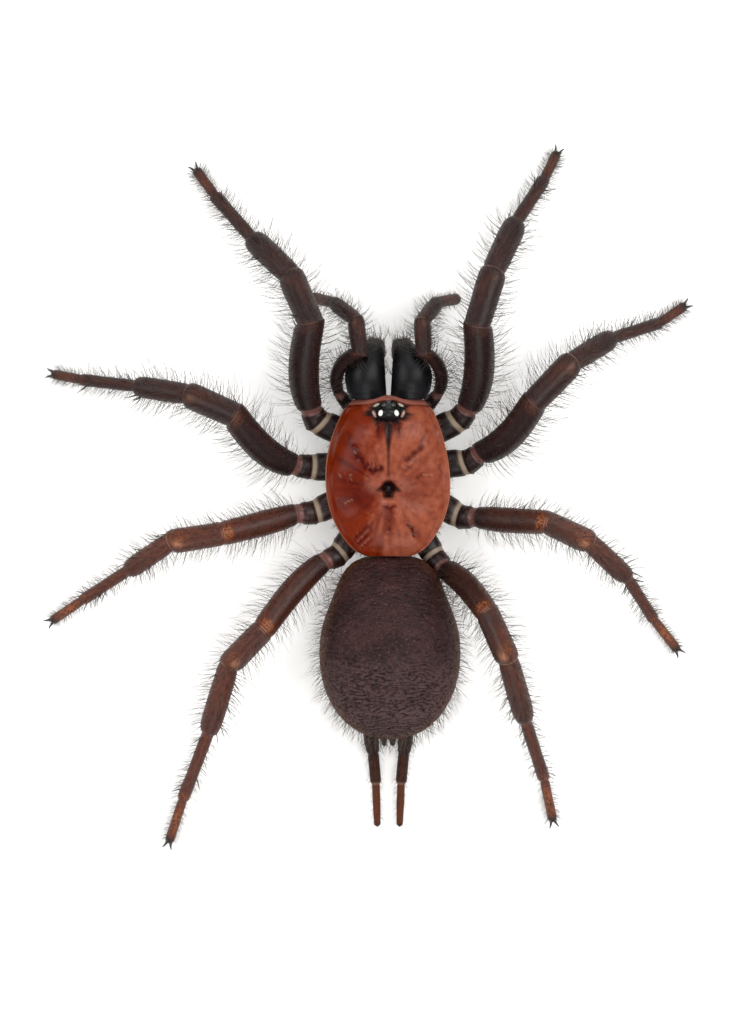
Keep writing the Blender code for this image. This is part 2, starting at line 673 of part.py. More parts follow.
class Lock:
    """A flat tapered bristle that bends from its first direction to its last one."""

    def __init__(self, root, first, last, across, length):
        self.points = [root]
        self.rings = []
        reach = length + LOCK_SINK
        for i, (share, size) in enumerate(LOCK_SHAPE):
            ahead = first.lerp(last, share).normalized()
            if i:
                step = (share - LOCK_SHAPE[i - 1][0]) * reach
                self.points.append(self.points[-1] + ahead * step)
            above = across.cross(ahead).normalized()
            width = across * (LOCK_HALF_WIDTH * size)
            rise = above * (LOCK_THICKNESS * size / 3)
            centre = self.points[-1]
            self.rings.append([centre - width - rise, centre + width - rise, centre + rise * 2])

    def samples(self):
        """Points along what stands out of the skin, each with its half width."""
        found = []
        for i in range(1, len(LOCK_SHAPE)):
            near, far = LOCK_SHAPE[i - 1][1], LOCK_SHAPE[i][1]
            for share in (0.5, 1.0):
                size = near + (far - near) * share
                point = self.points[i - 1].lerp(self.points[i], share)
                found.append((point, LOCK_HALF_WIDTH * size))
        return found


def limb_place(stations, share, roll):
    """The limb's axis, its outward direction and its half width at a place along it."""
    centres = [station[0] for station in stations]
    lengths = [(b - a).length for a, b in zip(centres, centres[1:])]
    left = share * sum(lengths)
    i = 0
    while i < len(lengths) - 1 and left > lengths[i]:
        left -= lengths[i]
        i += 1
    along = (centres[i + 1] - centres[i]).normalized()
    centre = centres[i].lerp(centres[i + 1], left / lengths[i])
    size = stations[i][1] + (stations[i + 1][1] - stations[i][1]) * left / lengths[i]
    across = along.cross(UP).normalized()
    turn = math.radians(roll)
    return centre, along, across * math.cos(turn) + across.cross(along) * math.sin(turn), size


def limb_lock(stations, share, roll, length):
    """A lock that grows from a limb and leans towards its far end."""
    centre, along, out, size = limb_place(stations, share, roll)
    leans = [math.radians(lean) for lean in LOCK_LEAN]
    first, last = (along * math.cos(lean) + out * math.sin(lean) for lean in leans)
    return Lock(centre + out * (size - LOCK_SINK), first, last, along.cross(out), length)


def fringe_lock(turn, level, length):
    """A lock that grows from the abdomen, outwards and back."""
    turn, level = math.radians(turn), math.radians(level)
    ray = Vector((math.sin(turn) * math.cos(level), -math.cos(turn) * math.cos(level), math.sin(level)))
    half_length = ABDOMEN_FRONT_LENGTH if ray.y > 0 else ABDOMEN_HALF_LENGTH
    halves = (ABDOMEN_HALF_WIDTH, half_length, ABDOMEN_HALF_HEIGHT)
    scaled = Vector([part / half for part, half in zip(ray, halves)])
    around = math.hypot(scaled.x, scaled.z) ** ABDOMEN_ROUNDNESS
    reach = (around + abs(scaled.y) ** ABDOMEN_ROUNDNESS) ** (-1 / ABDOMEN_ROUNDNESS)
    place = reach * scaled.y
    drop = (ABDOMEN_FRONT_DROP if place > 0 else ABDOMEN_REAR_DROP) * place**2
    surface = ABDOMEN_CENTRE + ray * reach - UP * drop
    normal = Vector([part / half for part, half in zip(scaled, halves)]).normalized()
    back = Vector((0.0, -1.0, 0.0))
    first = (normal + back * 0.35).normalized()
    last = (normal + back * 1.3 - UP * 0.1).normalized()
    return Lock(surface - normal * LOCK_SINK, first, last, UP.cross(ray).normalized(), length)


class Coat:
    """Every lock on the body, each one clear of the floor and of the nodes it doesn't grow from."""

    def __init__(self, nodes):
        self.dice = random.Random(LOCK_SEED)
        self.trees = {}
        self.locks = {}
        for node in nodes:
            points = [vertex.co / MM for vertex in node.data.vertices]
            faces = [tuple(face.vertices) for face in node.data.polygons]
            self.trees[node.name] = BVHTree.FromPolygons(points, faces)

    def is_clear(self, name, lock):
        for point, half_width in lock.samples():
            room = half_width + LOCK_CLEARANCE
            if point.z < room:
                return False
            for other, tree in self.trees.items():
                if other != name and tree.find_nearest(point, room)[0] is not None:
                    return False
            for other, grown in self.locks.items():
                if other == name:
                    continue
                if any((point - there).length < LOCK_SPACING for one in grown for there, _ in one.samples()):
                    return False
        return True

    def grow(self, name, choices):
        """Grow the first of these locks that is clear, or none of them."""
        for lock in choices:
            if self.is_clear(name, lock):
                self.locks.setdefault(name, []).append(lock)
                return

    def grow_on_limb(self, name, stations):
        words = name.split("_")
        part = words[-1] if words[0] == "leg" else "_".join([words[0]] + words[2:])
        first, last, rows, length, rolls = COATS[part]
        for row in range(rows):
            place = first + (last - first) * row / (rows - 1)
            for roll in rolls[row % len(rolls)]:
                share = place + self.dice.uniform(-0.5, 0.5) * LOCK_JITTER
                own_roll = roll + self.dice.uniform(-7, 7)
                own_length = length * self.dice.uniform(0.88, 1.12)
                choices = (limb_lock(stations, share, own_roll + turn, own_length) for turn in LOCK_TURNS)
                self.grow(name, choices)

    def grow_fringe(self, name):
        for level, number, reach in FRINGE_ROWS:
            for i in range(number):
                turn = -reach + 2 * reach * (i + self.dice.uniform(0.3, 0.7)) / number
                length = FRINGE_LENGTH * self.dice.uniform(0.85, 1.15)
                own_level = level + self.dice.uniform(-5, 5)
                choices = (fringe_lock(turn, own_level + rise, length) for rise in (0, 9, -9))
                self.grow(name, choices)

    def join(self):
        """Fuse each node with the locks that grow from it."""
        for name, locks in self.locks.items():
            fuse(bpy.data.objects[name], [make_node(f"{name}_lock", lock.rings) for lock in locks])


def stand_on_origin(nodes):
    """Move every node so that the origin is the middle of the whole model's footprint."""
    corners = [vertex.co for node in nodes for vertex in node.data.vertices]
    low = Vector([min(corner[axis] for corner in corners) for axis in range(3)])
    high = Vector([max(corner[axis] for corner in corners) for axis in range(3)])
    middle = (low + high) / 2
    for node in nodes:
        for vertex in node.data.vertices:
            vertex.co -= Vector((middle.x, middle.y, 0.0))


def main():
    clear_scene()
    limbs = {}
    nodes = [build_carapace(), build_sternum(), build_eye_tubercle(), build_waist(), build_abdomen()]
    nodes += build_spinnerets()
    for side_name, side in SIDES.items():
        nodes += build_jaw(side_name, side, limbs)
        nodes += build_palp(side_name, side, limbs)
        for pair in LEG_LENGTHS:
            nodes += build_leg(side_name, side, pair, limbs)
    coat = Coat(nodes)
    coat.grow_fringe("abdomen")
    for name, stations in limbs.items():
        coat.grow_on_limb(name, stations)
    coat.join()
    stand_on_origin(nodes)


main()
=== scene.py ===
"""Female black tunnelweb spider, life size, standing still on a pale studio floor.

Sizes are in millimetres, angles in degrees and headings count from straight ahead round to
straight back, until MeshMaker turns points into metres. +Y is the way that the spider faces,
+X is its right side and the floor is z = 0.
"""

import logging
import math
from dataclasses import dataclass, field
from enum import Enum

import bmesh
import bpy
import numpy as np
from mathutils import Matrix, Vector, noise


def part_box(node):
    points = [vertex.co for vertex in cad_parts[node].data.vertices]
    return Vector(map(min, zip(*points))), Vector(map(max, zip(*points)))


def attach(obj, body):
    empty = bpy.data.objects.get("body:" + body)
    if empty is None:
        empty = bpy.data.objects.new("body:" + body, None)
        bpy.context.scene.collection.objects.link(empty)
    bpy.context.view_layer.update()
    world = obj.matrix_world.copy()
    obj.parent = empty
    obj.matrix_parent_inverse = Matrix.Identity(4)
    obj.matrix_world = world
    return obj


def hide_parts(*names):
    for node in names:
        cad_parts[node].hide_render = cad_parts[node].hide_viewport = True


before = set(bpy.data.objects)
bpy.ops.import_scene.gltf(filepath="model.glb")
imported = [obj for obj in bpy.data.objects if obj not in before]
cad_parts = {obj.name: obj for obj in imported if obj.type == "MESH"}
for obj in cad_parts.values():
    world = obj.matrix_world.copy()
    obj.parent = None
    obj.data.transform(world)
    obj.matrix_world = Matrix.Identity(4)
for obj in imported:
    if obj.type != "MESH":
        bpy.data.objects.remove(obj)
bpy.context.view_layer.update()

MM = 0.001
UP = np.array((0.0, 0.0, 1.0))
BODY = "root"
BAKE_MAP = "OFBake"
# A hair's patch on that map, as a share of its side
BAKE_PATCH = 0.003
SKIN_MAP = "Skin"
# How far a skin's unwrap keeps off the edge of its map
MARGIN = 0.01
MASKS = 6
CARAPACE_FRONT = 6.2
# Hairs and claws keep this far above the floor
HAIR_CLEARANCE = 0.02
CLAW_CLEARANCE = 0.06
CUTICLE_IOR = 1.55
COAT_ROUGHNESS = 0.18
log = logging.getLogger("spider")


def footprint_shift() -> np.ndarray:
    """Where the body's own middle line and measuring point lie in the frame, in millimetres.

    Returns:
        The shift that turns a point of this script into a point of the frame.
    """
    low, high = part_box("carapace")
    return np.array(((low.x + high.x) / 2 / MM, high.y / MM - CARAPACE_FRONT, 0.0))


SHIFT = footprint_shift()


class Side(Enum):
    """The two sides of the body."""

    LEFT = -1
    RIGHT = 1

    @property
    def word(self) -> str:
        """The side's name as the nodes give it."""
        return self.name.lower()


# Small sums on points


def unit(vectors: np.ndarray) -> np.ndarray:
    """Vectors of length one.

    Args:
        vectors: One vector, or an array of them along its last axis.

    Returns:
        The same directions with unit length.
    """
    return vectors / np.maximum(np.linalg.norm(vectors, axis=-1, keepdims=True), 1e-12)


def ease(low: float, high: float, values: np.ndarray) -> np.ndarray:
    """A smooth step from 0 at low to 1 at high.

    Args:
        low: Value where the step starts.
        high: Value where it ends.
        values: Values to be stepped.

    Returns:
        The steps.
    """
    share = np.clip((np.asarray(values, float) - low) / (high - low), 0.0, 1.0)
    return share * share * (3 - 2 * share)


def bump(values: np.ndarray, centre: float, width: float) -> np.ndarray:
    """A bell of height 1.

    Args:
        values: Places at which it is read.
        centre: Place of its top.
        width: Distance at which it has fallen to about a third.

    Returns:
        Its height at each place.
    """
    return np.exp(-(((np.asarray(values, float) - centre) / width) ** 2))


def plateau(values: np.ndarray, centre: float, width: float) -> np.ndarray:
    """A bell of height 1 with a flat top and steep flanks.

    Args:
        values: Places at which it is read.
        centre: Place of its middle.
        width: Distance at which it has fallen to about a third.

    Returns:
        Its height at each place.
    """
    return np.exp(-(((np.asarray(values, float) - centre) / width) ** 4))


def window(values: np.ndarray, rise: tuple, fall: tuple) -> np.ndarray:
    """A mask that rises from 0 to 1 over one range and falls back over another.

    Args:
        values: Places at which it is read.
        rise: Where it starts and stops rising.
        fall: Where it starts and stops falling.

    Returns:
        The mask.
    """
    return ease(*rise, values) * (1 - ease(*fall, values))


def smooth(keys: tuple, places: np.ndarray) -> np.ndarray:
    """Values on a smooth curve through keys.

    Args:
        keys: Each a place followed by its values.
        places: Places at which the curve is read.

    Returns:
        One row of values for each place.
    """
    table = np.array(keys, float)
    at, values = table[:, 0], table[:, 1:]
    last = len(at) - 2
    i = np.clip(np.searchsorted(at, places, side="right") - 1, 0, last)
    before, after = np.maximum(i - 1, 0), np.minimum(i + 2, last + 1)
    span = (at[i + 1] - at[i])[:, None]
    t = ((places - at[i]) / span[:, 0])[:, None]
    slope_in = span * (values[i + 1] - values[before]) / (at[i + 1] - at[before])[:, None]
    slope_out = span * (values[after] - values[i]) / (at[after] - at[i])[:, None]
    return (
        (2 * t**3 - 3 * t**2 + 1) * values[i]
        + (t**3 - 2 * t**2 + t) * slope_in
        + (3 * t**2 - 2 * t**3) * values[i + 1]
        + (t**3 - t**2) * slope_out
    )


def shares_along(points: np.ndarray) -> np.ndarray:
    """How far along a line of points each of them lies.

    Args:
        points: The line's points.

    Returns:
        Shares of the line's length, from 0 to 1.
    """
    steps = np.linalg.norm(np.diff(points, axis=0), axis=1)
    lengths = np.concatenate(([0.0], np.cumsum(steps)))
    return lengths / lengths[-1]


def turned(points: int) -> np.ndarray:
    """Even turns round a ring of that many points, in radians from its first point."""
    return 2 * math.pi * np.arange(points) / points


def next_point(
    point: np.ndarray, side: Side, length: float, heading: float, height: float
) -> np.ndarray:
    """The far end of a limb's joint.

    Args:
        point: The joint's near end.
        side: Side of the body.
        length: True length of the joint.
        heading: Its compass heading.
        height: Height of its far end.

    Returns:
        The far end.
    """
    reach = math.sqrt(length**2 - (height - point[2]) ** 2)
    turn = math.radians(heading)
    across = side.value * reach * math.sin(turn)
    return np.array((point[0] + across, point[1] + reach * math.cos(turn), height))


def meeting_plane(before: np.ndarray, joint: np.ndarray, after: np.ndarray) -> np.ndarray:
    """The normal of the plane in which two joints of a limb meet.

    Args:
        before: Near end of the first joint.
        joint: Where they meet.
        after: Far end of the second joint.

    Returns:
        The unit normal.
    """
    return unit(unit(joint - before) + unit(after - joint))


# Meshes


def inset(share: np.ndarray) -> np.ndarray:
    """A place on a skin's map from a share of the map's side."""
    return MARGIN + (1 - 2 * MARGIN) * share


@dataclass
class Skin:
    """A lofted form: rings of points from its root to its tip, with masks that its finish reads.

    The tones are six masks from 0 to 1 for each point, and what they mean is each form's own.
    """

    rings: np.ndarray
    tones: np.ndarray

    @classmethod
    def plain(cls, rings: np.ndarray) -> "Skin":
        """A skin over rings of points, with empty tones."""
        return cls(rings, np.zeros((*rings.shape[:2], MASKS)))

    @classmethod
    def around(
        cls,
        centres: np.ndarray,
        widths: np.ndarray,
        heights: np.ndarray,
        facets: int,
        start_normal: np.ndarray | None = None,
        end_normal: np.ndarray | None = None,
    ) -> "Skin":
        """A limb's skin round a line of centres, whose end rings lie in the planes given.

        Args:
            centres: Points along the limb's axis.
            widths: Half width at each centre.
            heights: Half height at each centre.
            facets: Points in a ring, the first of them underneath.
            start_normal: Normal of the first ring's plane, or None for square to the axis.
            end_normal: Normal of the last ring's plane, or None.

        Returns:
            The skin, with empty tones.
        """
        steps = unit(np.diff(centres, axis=0))
        along = unit(np.vstack((steps[:1], steps[:-1] + steps[1:], steps[-1:])))
        across = unit(np.cross(along, UP))
        above = np.cross(across, along)
        angles = turned(facets) - math.pi / 2
        offsets = (
            across[:, None] * (widths[:, None] * np.cos(angles))[..., None]
            + above[:, None] * (heights[:, None] * np.sin(angles))[..., None]
        )
        share = shares_along(centres)[:, None]
        lean = np.zeros(offsets.shape[:2])
        if start_normal is not None:
            lean -= offsets @ start_normal / (along[0] @ start_normal) * (1 - share) ** 2
        if end_normal is not None:
            lean -= offsets @ end_normal / (along[-1] @ end_normal) * share**2
        return cls.plain(centres[:, None] + offsets + along[:, None] * lean[..., None])

    def joined(self, other: "Skin") -> "Skin":
        """This skin carried on by another one that starts in its last ring.

        Args:
            other: The skin of the next joint.

        Returns:
            One skin over both.
        """
        rings = np.concatenate((self.rings, other.rings[1:]))
        return Skin(rings, np.concatenate((self.tones, other.tones[1:])))

    def at(self, rows: np.ndarray, turns: np.ndarray) -> tuple[np.ndarray, np.ndarray, np.ndarray]:
        """Places on the skin.

        Args:
            rows: Places along it, as ring numbers with a fraction.
            turns: Places round it, as shares of a turn from underneath.

        Returns:
            Points, directions towards the tip and outward normals.
        """
        count, facets = self.rings.shape[:2]
        rows = np.clip(rows, 0.0, count - 1.001)
        i = rows.astype(int)
        k = turns % 1.0 * facets
        j = k.astype(int) % facets
        # Shares of the way to the next ring, and to the next point of a ring
        u, v = (rows - i)[:, None], (k - np.floor(k))[:, None]
        beside = (j + 1) % facets
        a, b = self.rings[i, j], self.rings[i, beside]
        c, d = self.rings[i + 1, j], self.rings[i + 1, beside]
        points = (a * (1 - v) + b * v) * (1 - u) + (c * (1 - v) + d * v) * u
        along = unit((c - a) * (1 - v) + (d - b) * v)
        around = unit((b - a) * (1 - u) + (d - c) * u)
        normals = unit(np.cross(around, along))
        middle = self.rings[i].mean(axis=1)
        outward = np.sign(np.einsum("ij,ij->i", normals, points - middle))[:, None]
        return points, along, normals * np.where(outward == 0, 1, outward)

    def unwrap(self, rows: np.ndarray, turns: np.ndarray) -> np.ndarray:
        """The skin's unwrap, with the turn across and the length up.

        Args:
            rows: Places along it.
            turns: Places round it.

        Returns:
            Map places between 0 and 1.
        """
        return np.stack((inset(turns % 1.0), inset(rows / (len(self.rings) - 1))), axis=1)


class MeshMaker:
    """Makes the model's pieces, each with its object at the origin and its place in its mesh."""

    @staticmethod
    def place(
        name: str, mesh: bpy.types.Mesh, finish: bpy.types.Material, slot: str
    ) -> bpy.types.Object:
        """A finished piece from its mesh.

        Args:
            name: Name of the piece.
            mesh: Its mesh, in metres in the frame.
            finish: Its material.
            slot: Name of a material slot; not used.

        Returns:
            The piece, which rides on the body.
        """
        mesh.materials.clear()
        mesh.materials.append(finish)
        mesh.shade_smooth()
        piece = bpy.data.objects.new(name, mesh)
        bpy.context.scene.collection.objects.link(piece)
        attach(piece, BODY)
        log.info("%s: %d faces", name, len(mesh.polygons))
        return piece

    @staticmethod
    def cover(name: str, skin: Skin, finish: bpy.types.Material, slot: str) -> bpy.types.Object:
        """A finished piece over one skin.

        Args:
            name: Name of the piece.
            skin: The rings and their tones.
            finish: Its material.
            slot: Name of a material slot, passed on to place.

        Returns:
            The piece.
        """
        mesh = bpy.data.meshes.new(name)
        body = MeshMaker.wrap(skin)
        body.to_mesh(mesh)
        body.free()
        return MeshMaker.place(name, mesh, finish, slot)

    @staticmethod
    def wrap(skin: Skin) -> bmesh.types.BMesh:
        """A closed form over a skin's rings, from a grid that is wrapped round them.

        Args:
            skin: The rings and their tones.

        Returns:
            The form, with its tones and a map of its unwrap.
        """
        count, facets = skin.rings.shape[:2]
        body = bmesh.new()
        bmesh.ops.create_grid(body, x_segments=facets, y_segments=count - 1, size=1.0)
        tone = body.verts.layers.float_color.new("tone")
        marks = body.verts.layers.float_color.new("marks")
        unwrap = body.loops.layers.uv.new(SKIN_MAP)
        spots = {}
        for vertex in body.verts:
            k = round((vertex.co.x + 1) / 2 * facets)
            i = round((vertex.co.y + 1) / 2 * (count - 1))
            spots[vertex] = (k, i)
            masks = skin.tones[i, k % facets]
            vertex[tone] = (*masks[:3], 1.0)
            vertex[marks] = (*masks[3:], 1.0)
        for face in body.faces:
            for corner in face.loops:
                k, i = spots[corner.vert]
                corner[unwrap].uv = (inset(k / facets), inset(i / (count - 1)))
        points = (skin.rings + SHIFT) * MM
        for vertex, (k, i) in spots.items():
            vertex.co = points[i, k % facets]
        bmesh.ops.remove_doubles(body, verts=body.verts, dist=1e-9)
        ends = [edge for edge in body.edges if edge.is_boundary]
        bmesh.ops.holes_fill(body, edges=ends, sides=0)
        bmesh.ops.recalc_face_normals(body, faces=body.faces)
        return body

    @staticmethod
    def joined(name: str, bodies: list[bmesh.types.BMesh]) -> bpy.types.Mesh:
        """One mesh from several.

        Args:
            name: Name of the mesh.
            bodies: The parts, which are used up.

        Returns:
            The joined mesh.
        """
        whole = bmesh.new()
        for body in bodies:
            part = bpy.data.meshes.new(name)
            body.to_mesh(part)
            body.free()
            whole.from_mesh(part)
            bpy.data.meshes.remove(part)
        mesh = bpy.data.meshes.new(name)
        whole.to_mesh(mesh)
        whole.free()
        return mesh

    @staticmethod
    def lens(centre: np.ndarray, radius: float, size: tuple, angle: float) -> bmesh.types.BMesh:
        """A rounded lens.

        Args:
            centre: Its centre.
            radius: Its radius.
            size: Its size along each axis as shares of the radius.
            angle: How far it is turned about the upright.

        Returns:
            A mesh in metres.
        """
        body = bmesh.new()
        bmesh.ops.create_uvsphere(body, u_segments=32, v_segments=20, radius=radius * MM)
        MeshMaker.settle(body, centre, size, angle)
        return body

    @staticmethod
    def ring(centre: np.ndarray, radius: float, size: tuple, angle: float) -> bmesh.types.BMesh:
        """The raised rim in which a lens sits.

        Args:
            centre: Its centre.
            radius: Radius of its middle line.
            size: Its size along each axis as shares of the radius.
            angle: How far it is turned about the upright.

        Returns:
            A mesh in metres.
        """
        body = bmesh.new()
        wire = bmesh.ops.create_circle(body, segments=12, radius=radius * 0.2 * MM)["verts"]
        bmesh.ops.rotate(body, verts=wire, matrix=Matrix.Rotation(math.pi / 2, 3, "X"))
        bmesh.ops.translate(body, verts=wire, vec=Vector((radius * MM, 0.0, 0.0)))
        bmesh.ops.spin(
            body,
            geom=list(body.edges) + wire,
            axis=Vector(UP),
            cent=Vector(),
            steps=32,
            angle=2 * math.pi,
            use_merge=True,
        )
        bmesh.ops.remove_doubles(body, verts=body.verts, dist=1e-8)
        bmesh.ops.recalc_face_normals(body, faces=body.faces)
        MeshMaker.settle(body, centre, size, angle)
        return body

    @staticmethod
    def settle(body: bmesh.types.BMesh, centre: np.ndarray, size: tuple, angle: float) -> None:
        """Stretch, turn and move a small form to its place.

        Args:
            body: The form, in metres about the origin.
            centre: Where it goes.
            size: Its size along each axis as shares of its own.
            angle: How far it is turned about the upright.
        """
        bmesh.ops.scale(body, vec=Vector(size), verts=body.verts)
        bmesh.ops.rotate(body, verts=body.verts, matrix=Matrix.Rotation(angle, 3, "Z"))
        bmesh.ops.translate(body, vec=Vector((centre + SHIFT) * MM), verts=body.verts)


# Hairs


@dataclass(frozen=True)
class HairKind:
    """One kind of hair: how long and thick it is, and how it stands.

    Angles are from the skin, at the hair's root and at its tip.
    """

    length: float
    radius: float
    lean: tuple[float, float]
    spread: float = 14.0
    scatter: float = 0.22
    steps: int = 3
    sink: float = 0.06
    tint: tuple[float, float] = (0.0, 1.0)


@dataclass
class Tuft:
    """Hairs that have been rooted: their roots, first and last directions, lengths and shades."""

    roots: np.ndarray
    first: np.ndarray
    last: np.ndarray
    lengths: np.ndarray
    radii: np.ndarray
    shades: np.ndarray
    patches: np.ndarray
    steps: int


def evenly(dice: np.random.Generator, across: int, along: int) -> tuple[np.ndarray, np.ndarray]:
    """Shares of a field's two sides, one pair in each cell of a net, so that hairs stand evenly.

    Args:
        dice: Source of chance.
        across: Cells across.
        along: Cells along.

    Returns:
        Places across and places along, both from 0 to 1.
    """
    i, j = np.divmod(np.arange(across * along), across)
    sideways = (j + dice.random(len(j))) / across
    # Every other column starts half a cell later
    return sideways, (i + 0.5 * (j % 2) + 0.7 * dice.random(len(i))) / (along + 0.5)


@dataclass
class Coat:
    """The hairs of one part of the body, made as one solid mesh."""

    name: str
    dice: np.random.Generator
    tufts: list[Tuft] = field(default_factory=list)

    def root(
        self,
        skin: Skin,
        rows: np.ndarray,
        turns: np.ndarray,
        kind: HairKind,
        scale: float | np.ndarray = 1.0,
    ) -> None:
        """Root hairs of one kind at places on a skin, leaning towards its tip.

        Args:
            skin: The skin that they grow from.
            rows: Places along it.
            turns: Places round it.
            kind: What the hairs are like.
            scale: How much longer or shorter they are than usual here.
        """
        points, along, normals = skin.at(rows, turns)
        self.root_at(points, along, normals, skin.unwrap(rows, turns), kind, scale)

    def root_at(
        self,
        points: np.ndarray,
        along: np.ndarray,
        normals: np.ndarray,
        patches: np.ndarray,
        kind: HairKind,
        scale: float | np.ndarray = 1.0,
    ) -> None:
        """Root hairs at points.

        Args:
            points: The roots.
            along: The way that they lie.
            normals: The skin's outward directions.
            patches: Places on the skin's unwrap.
            kind: What the hairs are like.
            scale: How much longer or shorter they are than usual.
        """
        count = len(points)
        aside = unit(np.cross(normals, along))
        sway = np.radians(self.dice.normal(0.0, kind.spread, (2, count)))
        lean = [np.radians(angle + self.dice.normal(0.0, 7.0, count)) for angle in kind.lean]
        ways = []
        for i in range(2):
            turn, rise = sway[i][:, None] * (1 + i), lean[i][:, None]
            flat = along * np.cos(turn) + aside * np.sin(turn)
            ways.append(flat * np.cos(rise) + normals * np.sin(rise))
        uneven = np.clip(self.dice.normal(1.0, kind.scatter, count), 0.45, 1.5)
        lengths = kind.length * scale * uneven
        self.tufts.append(
            Tuft(
                roots=points - normals * kind.sink,
                first=ways[0],
                last=ways[1],
                lengths=lengths,
                radii=kind.radius * self.dice.uniform(0.75, 1.15, count),
                shades=self.dice.uniform(*kind.tint, count),
                patches=patches,
                steps=kind.steps,
            )
        )

    def piece(self, finish: bpy.types.Material) -> None:
        """Make every hair rooted so far, as one piece.

        Args:
            finish: The hairs' material.
        """
        points, corners, sizes, maps, shades = zip(*(self._strands(tuft) for tuft in self.tufts))
        bases = np.cumsum([0, *(len(part) for part in points[:-1])])
        loops = np.concatenate([part + base for part, base in zip(corners, bases)])
        totals = np.concatenate(sizes)
        co = np.concatenate(points)
        co[:, 2] = np.maximum(co[:, 2], HAIR_CLEARANCE)
        co = (co + SHIFT) * MM
        mesh = bpy.data.meshes.new(self.name)
        mesh.vertices.add(len(co))
        mesh.vertices.foreach_set("co", co.astype(np.float32).ravel())
        mesh.loops.add(len(loops))
        mesh.loops.foreach_set("vertex_index", loops.astype(np.int32))
        mesh.polygons.add(len(totals))
        starts = np.concatenate(([0], np.cumsum(totals)[:-1]))
        mesh.polygons.foreach_set("loop_start", starts.astype(np.int32))
        mesh.update(calc_edges=True)
        mesh.uv_layers.new(name=BAKE_MAP).uv.foreach_set(
            "vector", np.concatenate(maps)[loops].astype(np.float32).ravel()
        )
        shade = mesh.attributes.new("shade", "FLOAT", "POINT")
        shade.data.foreach_set("value", np.concatenate(shades).astype(np.float32))
        mesh.validate()
        MeshMaker.place(self.name, mesh, finish, "hair")

    @staticmethod
    def _strands(tuft: Tuft) -> tuple[np.ndarray, np.ndarray, np.ndarray, np.ndarray, np.ndarray]:
        """Three-sided tapered strands, closed at both ends.

        Args:
            tuft: The rooted hairs.

        Returns:
            Points, face corners, corners of each face, map places and shades of each point.
        """
        count, steps = len(tuft.roots), tuft.steps
        share = (np.arange(steps + 1) / steps)[None, :, None]
        reach = tuft.first[:, None] * (share - share**2 / 2) + tuft.last[:, None] * share**2 / 2
        centres = tuft.roots[:, None] + tuft.lengths[:, None, None] * reach
        aside = unit(np.cross(tuft.first, tuft.last + UP * 1e-3))
        above = np.cross(aside, tuft.first)
        taper = (1 - 0.75 * share[:, :-1] ** 1.5) * tuft.radii[:, None, None]
        angles = np.radians((90, 210, 330))
        ring = np.stack([aside * math.cos(a) + above * math.sin(a) for a in angles], axis=1)
        rings = centres[:, :-1, None] + ring[:, None] * taper[..., None]
        per = steps * 3 + 1
        points = np.concatenate((rings.reshape(count, -1, 3), centres[:, -1:]), axis=1)
        faces, sizes = [[2, 1, 0]], [3]
        for i in range(steps - 1):
            for k in range(3):
                n = (k + 1) % 3
                faces.append([i * 3 + k, i * 3 + n, i * 3 + 3 + n, i * 3 + 3 + k])
                sizes.append(4)
        for k in range(3):
            faces.append([(steps - 1) * 3 + k, (steps - 1) * 3 + (k + 1) % 3, per - 1])
            sizes.append(3)
        flat = np.array([corner for face in faces for corner in face])
        corners = (flat[None] + np.arange(count)[:, None] * per).ravel()
        up = np.repeat(np.arange(steps + 1), 3)[:per] / steps
        across = np.concatenate((np.tile((0.0, 1.0, 0.5), steps), (0.5,)))
        patch = np.stack((across - 0.5, up - 0.5), axis=1) * BAKE_PATCH
        maps = np.clip(tuft.patches[:, None] + patch, 0.001, 0.999).reshape(-1, 2)
        return (
            points.reshape(-1, 3),
            corners,
            np.tile(sizes, count),
            maps,
            np.repeat(tuft.shades, per),
        )


# Finishes


def linear(colour: str) -> tuple[float, float, float, float]:
    """A linear colour from its sRGB hex value.

    Args:
        colour: Six hex digits after a hash.

    Returns:
        Red, green, blue and 1.
    """
    parts = [int(colour[i : i + 2], 16) / 255 for i in (1, 3, 5)]
    return (*[c / 12.92 if c <= 0.04045 else ((c + 0.055) / 1.055) ** 2.4 for c in parts], 1.0)


def add_node(
    tree: bpy.types.NodeTree, kind: str, settings: dict | None = None, links: dict | None = None
) -> bpy.types.Node:
    """Add a node with its settings and links.

    Args:
        tree: The material's nodes.
        kind: The node's type.
        settings: Values of its properties, or of its sockets by name or number.
        links: Output sockets that feed its sockets by name or number.

    Returns:
        The node.
    """
    node = tree.nodes.new(kind)
    for key, value in (settings or {}).items():
        if isinstance(key, str) and hasattr(node, key):
            setattr(node, key, value)
        else:
            node.inputs[key].default_value = value
    for key, socket in (links or {}).items():
        tree.links.new(socket, node.inputs[key])
    return node


